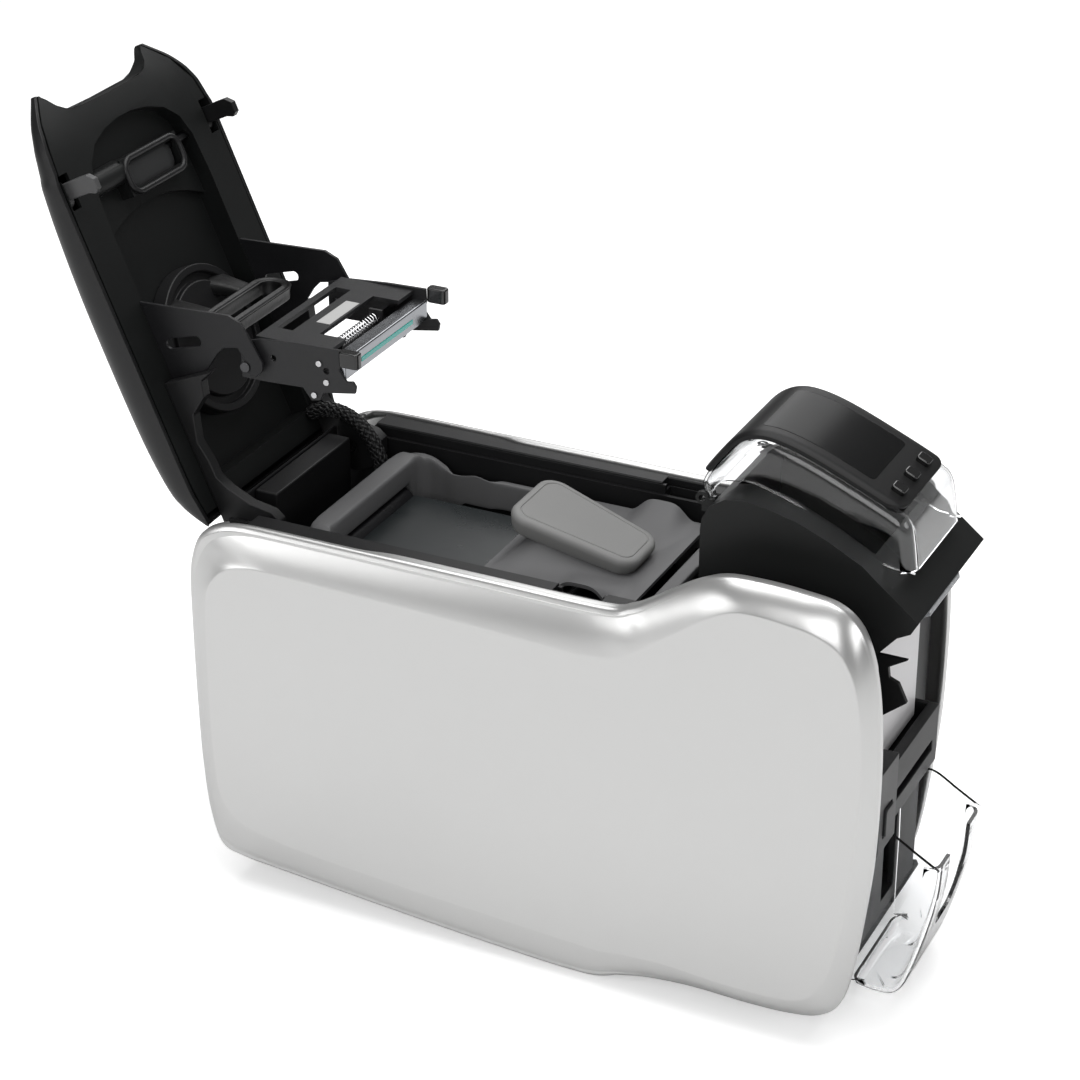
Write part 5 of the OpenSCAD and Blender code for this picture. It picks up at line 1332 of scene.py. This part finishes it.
@dataclass
class Body:
    """The chassis between the panels, with its trims, covers, electronics and harness."""

    route: tuple[tuple[float, float], ...] = (
        (2.6, 199.2), (6, 201.5), (12, 203.5), (18, 203.5), (24, 202), (30, 198.5), (35, 193.5),
        (38.5, 187.5), (41, 181), (42.2, 174), (42.5, 167))
    harness_y: float = 41.5
    harness_d: float = 8.0
    strands: int = 16
    strand_turns: float = 2.2
    strand_halves: tuple[float, float] = (0.36, 0.66)
    strand_in: float = 0.75
    weave: float = 0.28
    core_in: float = 1.0
    apron_half: float = 44.0
    apron_ease: float = 0.6
    apron_profile: tuple[tuple[float, float], ...] = (
        (15.5, 157.0), (15.5, 193.8), (15.4, 194.3), (15.1, 194.6), (14.7, 194.6),
        (14.3, 194.3), (14.0, 193.6), (13.2, 190.6), (13.0, 188.6), (13.0, 157.0))
    ledge_ends: tuple[float, float] = (31.0, 236.0)
    slot_ends: tuple[float, float] = (184.0, 208.0)
    ledge_inner: tuple[float, float] = (56.2, 62.8)
    ledge_z: tuple[float, float] = (190.0, 193.7)
    rounded: tuple[tuple[str, Finish, float, int], ...] = (
        ("chassis_wall_near", CHASSIS, 0.3, 1), ("rim_trim_near", TRIM, 0.4, 2),
        ("chassis_wall_far", CHASSIS, 0.3, 1), ("rim_trim_far", TRIM, 0.4, 2),
        ("floor_tray", TRIM, 0.5, 2), ("rear_cover", TRIM, 0.4, 2),
        ("rear_housing", TRIM, 1.0, 3), ("feet", RUBBER, 0.8, 2),
        ("power_inlet", TRIM, 0.3, 1), ("chassis_screws", STEEL, 0.3, 2))
    plain: tuple[tuple[str, Finish], ...] = (
        ("data_port", STEEL), ("main_board", BOARD), ("drive_motor", MOTOR),
        ("hinge_pins", STEEL), ("platen_roller", RUBBER), ("feed_roller", RUBBER),
        ("motor_pinion", NYLON))

    def harness(self) -> None:
        """Makes the braided harness: strands that pass over and under each other on a core.

        A strand is a helix about the smoothed route, and every second one turns the other way.
        Its distance from the route is a mean plus a sine of half the number of strands times
        its turn, so it lies over one strand and under the next. Its section is an ellipse.
        """
        along, around = 240, 7
        line = smooth_line(self.route, along)
        run = np.gradient(line, axis=0)
        run /= np.linalg.norm(run, axis=1, keepdims=True)
        across = np.array([0.0, 1.0, 0.0])
        side = np.stack([-run[:, 1], np.zeros(along), run[:, 0]], -1)
        middle = upright(line, self.harness_y)
        number = np.arange(self.strands)[:, None]
        way = np.where(number % 2, 1.0, -1.0)
        turn = 2 * np.pi * (number / self.strands
                            + way * self.strand_turns * np.linspace(0, 1, along)[None])
        radial = np.cos(turn)[..., None] * side + np.sin(turn)[..., None] * across
        reach = (self.harness_d / 2 - self.strand_in
                 + way * self.weave * np.sin(self.strands / 2 * turn))
        path = middle + radial * reach[..., None]
        tangent = np.gradient(path, axis=1)
        beside = np.cross(tangent, radial)
        beside /= np.linalg.norm(beside, axis=-1, keepdims=True)
        b, (thin, wide) = full_turn(around)[:, None], self.strand_halves
        points = (path[:, :, None] + thin * np.cos(b) * radial[:, :, None]
                  + wide * np.sin(b) * beside[:, :, None])
        faces = []
        for first in np.arange(self.strands) * along * around:
            faces += grid_faces(along, around, True, first).tolist()
            faces += [list(range(first, first + around)),
                      list(range(first + (along - 1) * around, first + along * around))]
        braid = make_object("harness_braid", AT.body(points), faces, HARNESS, 60.0)
        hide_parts("wire_harness")
        self.bend(braid, middle)
        a = full_turn(28)[:, None]
        core = middle[:, None] + (self.harness_d / 2 - self.core_in) * (
            np.cos(a) * side[:, None] + np.sin(a) * across)
        self.bend(rings_object("harness_core", AT.body(core), HARNESS), middle)

    def bend(self, piece: bpy.types.Object, middle: Array) -> None:
        """Bakes the placement of a piece of the harness into its mesh and logs it.

        Args:
            piece: the finished piece.
            middle: the harness's middle line, from the lid down.
        """
        top, low = AT.body(middle[[0, -1]]).tolist()
        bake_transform(piece)
        LOG.info("%s bends between chassis and lid", piece.name)

    def apron(self) -> bpy.types.Object:
        """Makes the upright plate under the lid's hinge line, with a rounded upper edge.

        Its profile runs across the body and shrinks about its middle at the two ends.

        Returns:
            The new piece.
        """
        profile, half = np.array(self.apron_profile), self.apron_half
        y = np.array([-half, self.apron_ease - half, half - self.apron_ease, half])
        shrink = np.array([0.94, 1.0, 1.0, 0.94])[:, None, None]
        line = profile.mean(0) + (profile - profile.mean(0)) * shrink
        piece = rings_object("rear_apron", AT.body(upright(line, y[:, None])), TRIM)
        return place(piece, "chassis", TRIM)

    def ledge(self, side: int, name: str) -> bpy.types.Object:
        """Makes the black ledge inside one panel's shelf, narrower beside the latch slot.

        It has a station on either side of each of the slot's two ends, so the step is square.

        Args:
            side: -1 for the near ledge, 1 for the far one.
            name: the piece's name.

        Returns:
            The new piece.
        """
        (rear, front), (first, last), (low, high) = self.ledge_ends, self.slot_ends, self.ledge_z
        x = np.concatenate([np.linspace(rear, first, 90), np.linspace(first + 0.01, last, 12),
                            np.linspace(last + 0.01, front, 14)])
        outer = shelf_line(x) - 0.1
        inner = np.where((x > first) & (x < last + 0.005), self.ledge_inner[1],
                         self.ledge_inner[0])
        corners = ((outer, low), (outer, high - 0.5), (outer - 0.5, high), (inner + 0.6, high),
                   (inner, high - 0.6), (inner, low))
        rings = np.stack([np.stack([x, side * y, np.full(len(x), z)], -1) for y, z in corners], 1)
        piece = rings_object(name, AT.body(rings), TRIM)
        return place(piece, "chassis", TRIM)

    def dress(self) -> None:
        """Builds the ledges, harness and apron and finishes the chassis and the transport."""
        self.ledge(-1, "rim_ledge_near")
        self.ledge(1, "rim_ledge_far")
        round_each("chassis", self.rounded)
        for node, finish in self.plain:
            dress(node, finish)
        self.harness()
        self.apron()


@dataclass
class Front:
    """The hopper, its clear cover and display, the card slot, power panel and output bin."""

    cover_at: tuple[float, float] = (239.0, 220.902)
    cover_size: tuple[float, float] = (100.0, 48.0)
    cover_half: float = 31.0
    cover_wall: float = 1.8
    cover_round: float = 6.5
    cover_shares: tuple[tuple[float, float], ...] = (
        (0.012, 0.320), (0.000, 0.477), (0.085, 0.750), (0.155, 0.917), (0.235, 1.000),
        (0.335, 1.000), (0.480, 0.917), (0.698, 0.729), (0.895, 0.537), (0.952, 0.435),
        (0.975, 0.250), (0.992, 0.000))
    edge_shares: tuple[tuple[float, float], ...] = (
        (0.012, 0.320), (0.100, 0.510), (0.172, 0.552), (0.247, 0.562), (0.447, 0.438),
        (0.647, 0.250), (0.777, 0.104), (0.867, 0.021), (0.992, 0.000))
    bin_at: tuple[float, float] = (319.971, 1.5)
    bin_size: tuple[float, float] = (38.0, 88.0)
    bin_half: float = 30.5
    bin_wall: float = 1.8
    bin_round: float = 7.0
    notch_half: float = 14.0
    notch_low: float = 0.36
    bin_shares: tuple[tuple[float, float], ...] = (
        (0.00, 0.06), (0.06, 0.01), (0.42, 0.00), (0.58, 0.04), (0.70, 0.16), (0.86, 0.41),
        (0.97, 0.65), (1.00, 0.85))
    bin_edge: tuple[tuple[float, float], ...] = (
        (0.00, 0.06), (0.00, 0.50), (0.00, 1.00), (0.20, 1.00), (0.40, 1.00), (0.70, 0.925),
        (1.00, 0.85))
    steps: int = 110
    wall_shares: tuple[float, ...] = (1.0, 0.75, 0.5, 0.25)
    rounded: tuple[tuple[str, Finish, float, int], ...] = (
        ("front_plate", TRIM, 0.4, 2), ("hopper_base", BASE, 1.6, 3), ("card_guide", GUIDE, 0.4, 2),
        ("slot_bezel", TRIM, 0.6, 2), ("power_panel", POWER, 0.6, 2),
        ("light_strip", STRIP, 0.5, 2), ("output_ramp", TRIM, 0.4, 2))
    plates: tuple[tuple[object, ...], ...] = (
        ("display_frame", BEZEL, "display_bezel", 28.5, (0.02, 0.905), (2.0, 9.0), (1.9, 0.1)),
        ("display_window", SCREEN, "display_screen", 20.5, (0.24, 0.745), (2.5, 2.5),
         (2.0, 1.0)))

    def line(self, shares: Sequence[Sequence[float]], at: Sequence[float],
             size: Sequence[float]) -> Array:
        """Returns a smoothed line of shares in millimetres."""
        return smooth_line(np.array(shares) * np.array(size) + np.array(at), self.steps)

    def fall(self, y: Array, half: float, radius: float) -> Array:
        """Returns how far a rounded edge has fallen at y: the radius less its circle's height."""
        reach = np.clip(np.abs(y) - (half - radius), 0, radius)
        return radius - np.sqrt(np.maximum(radius ** 2 - reach ** 2, 0.0))

    def tub_skin(self, top: Array, edge: Array, half: float, radius: float, sign: float,
                 thick: float, ends: Optional[Array] = None,
                 middle: Optional[Array] = None) -> Array:
        """Makes the skin of a tub whose round-edged face follows one line.

        Rows run across from the near wall's free edge, over the face, to the far wall's. Each
        row of the face is the line moved in by the rounded edge's fall, and the rows of a wall
        run straight from the last of these to the free edge.

        Args:
            top: the face's line.
            edge: the walls' free edge.
            half: half the width.
            radius: the rounding between face and walls.
            sign: 1 where the left of the line's path is inside, -1 where it is outside.
            thick: how far inside the outer skin it lies.
            ends: how far along its line each middle row goes, in steps.
            middle: the middle rows' distances across.

        Returns:
            An array of rows by steps by three, in millimetres.
        """
        half, radius = half - thick, radius - thick
        turn = (half - radius) + radius * np.cos(np.radians(np.linspace(0, 80, 8)))
        across = middle if middle is not None else np.linspace(-1, 1, 9) * (half - radius)
        y = np.concatenate([-turn, across, turn[::-1]])
        steps = np.arange(self.steps, dtype=float)
        wall = inset(top, sign * (thick + radius), closed=False)
        rows = [upright(wall + (edge - wall) * share, -half) for share in self.wall_shares]
        for number, (place_y, drop) in enumerate(zip(y, self.fall(y, half, radius))):
            line = inset(top, sign * (thick + drop), closed=False)
            inside = number - len(turn)
            if ends is not None and 0 <= inside < len(across):
                line = pick(line, steps * ends[inside] / (self.steps - 1))
            rows.append(upright(line, place_y))
        rows += [upright(wall + (edge - wall) * share, half) for share in self.wall_shares[::-1]]
        return np.array(rows)

    def cover(self) -> bpy.types.Object:
        """Makes the clear cover as a thin tub with round edges, open below.

        Returns:
            The new piece.
        """
        top = self.line(self.cover_shares, self.cover_at, self.cover_size)
        edge = self.line(self.edge_shares, self.cover_at, self.cover_size)
        skins = [AT.body(self.tub_skin(top, edge, self.cover_half, self.cover_round, -1.0, thick))
                 for thick in (0.0, self.cover_wall)]
        piece = shell_object("clear_cover", *skins, COVER, 60.0)
        return place(piece, "cover", COVER, "hopper_cover")

    def on_cover(self, name: str, finish: Finish, node: str, half: float,
                 spread: tuple[float, float], corners: tuple[float, float],
                 lifts: tuple[float, float]) -> bpy.types.Object:
        """Makes a plate that lies on the cover and follows its rounding.

        Each row across runs along the cover's line, between a start and a stop that draw back
        towards the sides by the corners' rounding.

        Args:
            name: the piece's name.
            finish: its finish.
            node: the solid that it replaces.
            half: half its width.
            spread: where it starts and ends, as shares of the cover's length.
            corners: radius of its rear and front corners.
            lifts: how far its upper and lower faces stand off the cover.

        Returns:
            The new piece.
        """
        top = self.line(self.cover_shares, self.cover_at, self.cover_size)
        after = np.maximum.accumulate(top[:, 0])
        first, last = (np.interp(self.cover_at[0] + share * self.cover_size[0], after,
                                 np.arange(self.steps)) for share in spread)
        per_mm = self.steps / np.linalg.norm(np.diff(top, axis=0), axis=1).sum()
        y = np.sin(np.linspace(-np.pi / 2, np.pi / 2, 41)) * half
        starts = first + per_mm * self.fall(y, half, corners[0])
        stops = last - per_mm * self.fall(y, half, corners[1])
        drops = self.fall(y, self.cover_half, self.cover_round)
        skins = [AT.body(np.array([
            upright(pick(inset(top, lift - drop, closed=False), np.linspace(start, stop, 70)),
                    place_y) for place_y, start, stop, drop in zip(y, starts, stops, drops)]))
            for lift in lifts]
        piece = soften(shell_object(name, *skins, finish, 40.0), 0.5, 3)
        return place(piece, "cover", finish, node)

    def bin(self) -> bpy.types.Object:
        """Makes the clear bin as a thin tub, its front cut down in the middle by a round notch.

        The notch's depth at y is the root of order five of 1 - (y / half)^5.

        Returns:
            The new piece.
        """
        top = self.line(self.bin_shares, self.bin_at, self.bin_size)
        edge = self.line(self.bin_edge, self.bin_at, self.bin_size)
        rising = np.arange(self.steps // 4, self.steps)
        low = np.interp(self.bin_at[1] + self.notch_low * self.bin_size[1], top[rising, 1], rising)
        bend = np.sin(np.linspace(-np.pi / 2, np.pi / 2, 33)) * self.notch_half
        full = self.steps - 1.0
        depth = (1 - np.abs(bend / self.notch_half) ** 5) ** 0.2
        side = self.bin_half - self.bin_round
        beside = (side + self.notch_half) / 2 + 1
        middle = np.concatenate([[-side, -beside], bend, [beside, side]])
        ends = np.concatenate([[full, full], full - (full - low) * depth, [full, full]])
        skins = [AT.body(self.tub_skin(top, edge, self.bin_half, self.bin_round, 1.0, thick, ends,
                                       middle)) for thick in (0.0, self.bin_wall)]
        return place(shell_object("clear_bin", *skins, BIN, 60.0), "bin", BIN, "output_bin")

    def dress(self) -> None:
        """Builds the clear pieces and finishes the front's solids."""
        round_each("chassis", self.rounded)
        self.cover()
        for plate in self.plates:
            self.on_cover(*plate)
        for spot in ("near", "middle", "far"):
            rounded_copy("menu_button_" + spot, "button_" + spot, BUTTON, 0.6, 3)
        rounded_copy("power_button", "power", POWER, 0.6, 3)
        self.bin()


@dataclass
class Studio:
    """White floor, soft lamps and the photograph's camera."""

    lens: float = 97.15
    camera_at: tuple[float, float, float] = (670.336, -1080.4, 793.7)
    pitch: float = 27.05
    azimuth: float = 25.83
    sensor: float = 36.0
    far_clip: float = 20.0
    floor_half: float = 6.0
    floor_glow: float = 0.45
    fill_light: float = 0.16
    lamps: tuple[tuple[str, Colour, Colour, float, float], ...] = (
        ("top_softbox", (0.0, 0.1, 1.6), (0.0, 0.0, 0.1), 1.5, 24.0),
        ("left_softbox", (-1.1, -1.35, 0.65), (-0.1, 0.0, 0.15), 0.8, 5.5),
        ("front_softbox", (0.4, -1.9, 1.2), (0.0, 0.0, 0.0), 1.2, 13.0),
        ("right_softbox", (1.7, -0.5, 0.9), (0.1, 0.0, 0.15), 0.8, 6.0),
        ("rear_softbox", (-0.3, 1.6, 1.2), (0.0, 0.0, 0.25), 1.0, 7.0))

    def camera(self) -> None:
        """Sets the camera at the photograph's place, height and angle."""
        data = bpy.data.cameras.new("photo_camera")
        data.lens = self.lens
        data.sensor_width = self.sensor
        data.clip_end = self.far_clip
        camera = into_scene("photo_camera", data)
        camera.location = AT.body(np.array(self.camera_at)).tolist()
        camera.rotation_euler = (math.radians(90 - self.pitch), 0.0, math.radians(self.azimuth))
        bpy.context.scene.camera = camera

    def lamp(self, name: str, at: Colour, towards: Colour, size: float, power: float) -> None:
        """Adds one square soft lamp.

        Args:
            name: the lamp's name.
            at: where it hangs, in metres.
            towards: what it faces, in metres.
            size: the length of its side, in metres.
            power: its strength in watts.
        """
        data = bpy.data.lights.new(name, "AREA")
        data.size = size
        data.energy = power
        lamp = into_scene(name, data)
        lamp.location = at
        run = np.array(towards) - np.array(at)
        run /= np.linalg.norm(run)
        lamp.rotation_euler = (math.acos(-run[2]), 0.0, math.atan2(run[1], run[0]) - math.pi / 2)

    @staticmethod
    def seen_straight(sketch: NodeSketch) -> bpy.types.NodeSocket:
        """Tells what the camera sees, straight or through clear plastic, from all other light.

        Args:
            sketch: the tree that asks.

        Returns:
            1 for what the camera sees and 0 for the rest.
        """
        path = sketch.add("ShaderNodeLightPath")
        return sketch.math("MAXIMUM", path.outputs["Is Camera Ray"],
                           path.outputs["Is Transmission Ray"])

    def white_floor(self) -> None:
        """Adds a wide floor that looks white to the camera and keeps the printer's shadow."""
        corners = np.array([(-1, -1, 0), (1, -1, 0), (1, 1, 0), (-1, 1, 0)]) * self.floor_half
        mesh = bpy.data.meshes.new("floor")
        mesh.from_pydata(corners.tolist(), [], [(0, 1, 2, 3)])
        material = bpy.data.materials.new("floor_white")
        material.use_nodes = True
        sketch = NodeSketch(material.node_tree)
        glow = sketch.math("MULTIPLY", self.seen_straight(sketch), self.floor_glow)
        sketch.fill(material.node_tree.nodes["Principled BSDF"], {
            "Base Color": (0.92, 0.92, 0.92, 1.0), "Roughness": 0.9, "Specular IOR Level": 0.1,
            "Emission Color": (1.0, 1.0, 1.0, 1.0), "Emission Strength": glow})
        mesh.materials.append(material)
        into_scene("floor", mesh)

    def sky(self) -> None:
        """Makes the surroundings white to the camera and a plain soft light to the printer."""
        world = bpy.data.worlds.new("studio")
        bpy.context.scene.world = world
        world.use_nodes = True
        sketch = NodeSketch(world.node_tree)
        seen = self.seen_straight(sketch)
        rest = sketch.math("MULTIPLY", sketch.math("SUBTRACT", 1.0, seen), self.fill_light)
        sketch.fill(world.node_tree.nodes["Background"], {
            "Color": (1.0, 1.0, 1.0, 1.0), "Strength": sketch.math("ADD", seen, rest)})

    def build(self) -> None:
        """Sets up the whole studio."""
        bpy.context.scene.view_settings.view_transform = "Standard"
        self.camera()
        self.sky()
        self.white_floor()
        for lamp in self.lamps:
            self.lamp(*lamp)


def write_sizes() -> None:
    """Defines a helper that turns a box into plain lists; nothing is written."""
    def plain(box: Sequence[Sequence[float]]) -> list[list[float]]:
        """Returns a box as plain lists."""
        return [[float(v) for v in corner] for corner in box]


def main() -> None:
    """Builds the studio and every sub-assembly."""
    logging.basicConfig(level=logging.INFO, format="%(name)s: %(message)s")
    Studio().build()
    for assembly in (SidePanels(), Lid(), PrintHead(), Cartridge(), Body(), Front()):
        LOG.info("building %s", type(assembly).__name__)
        assembly.dress()
    write_sizes()


if __name__ == "__main__":
    main()
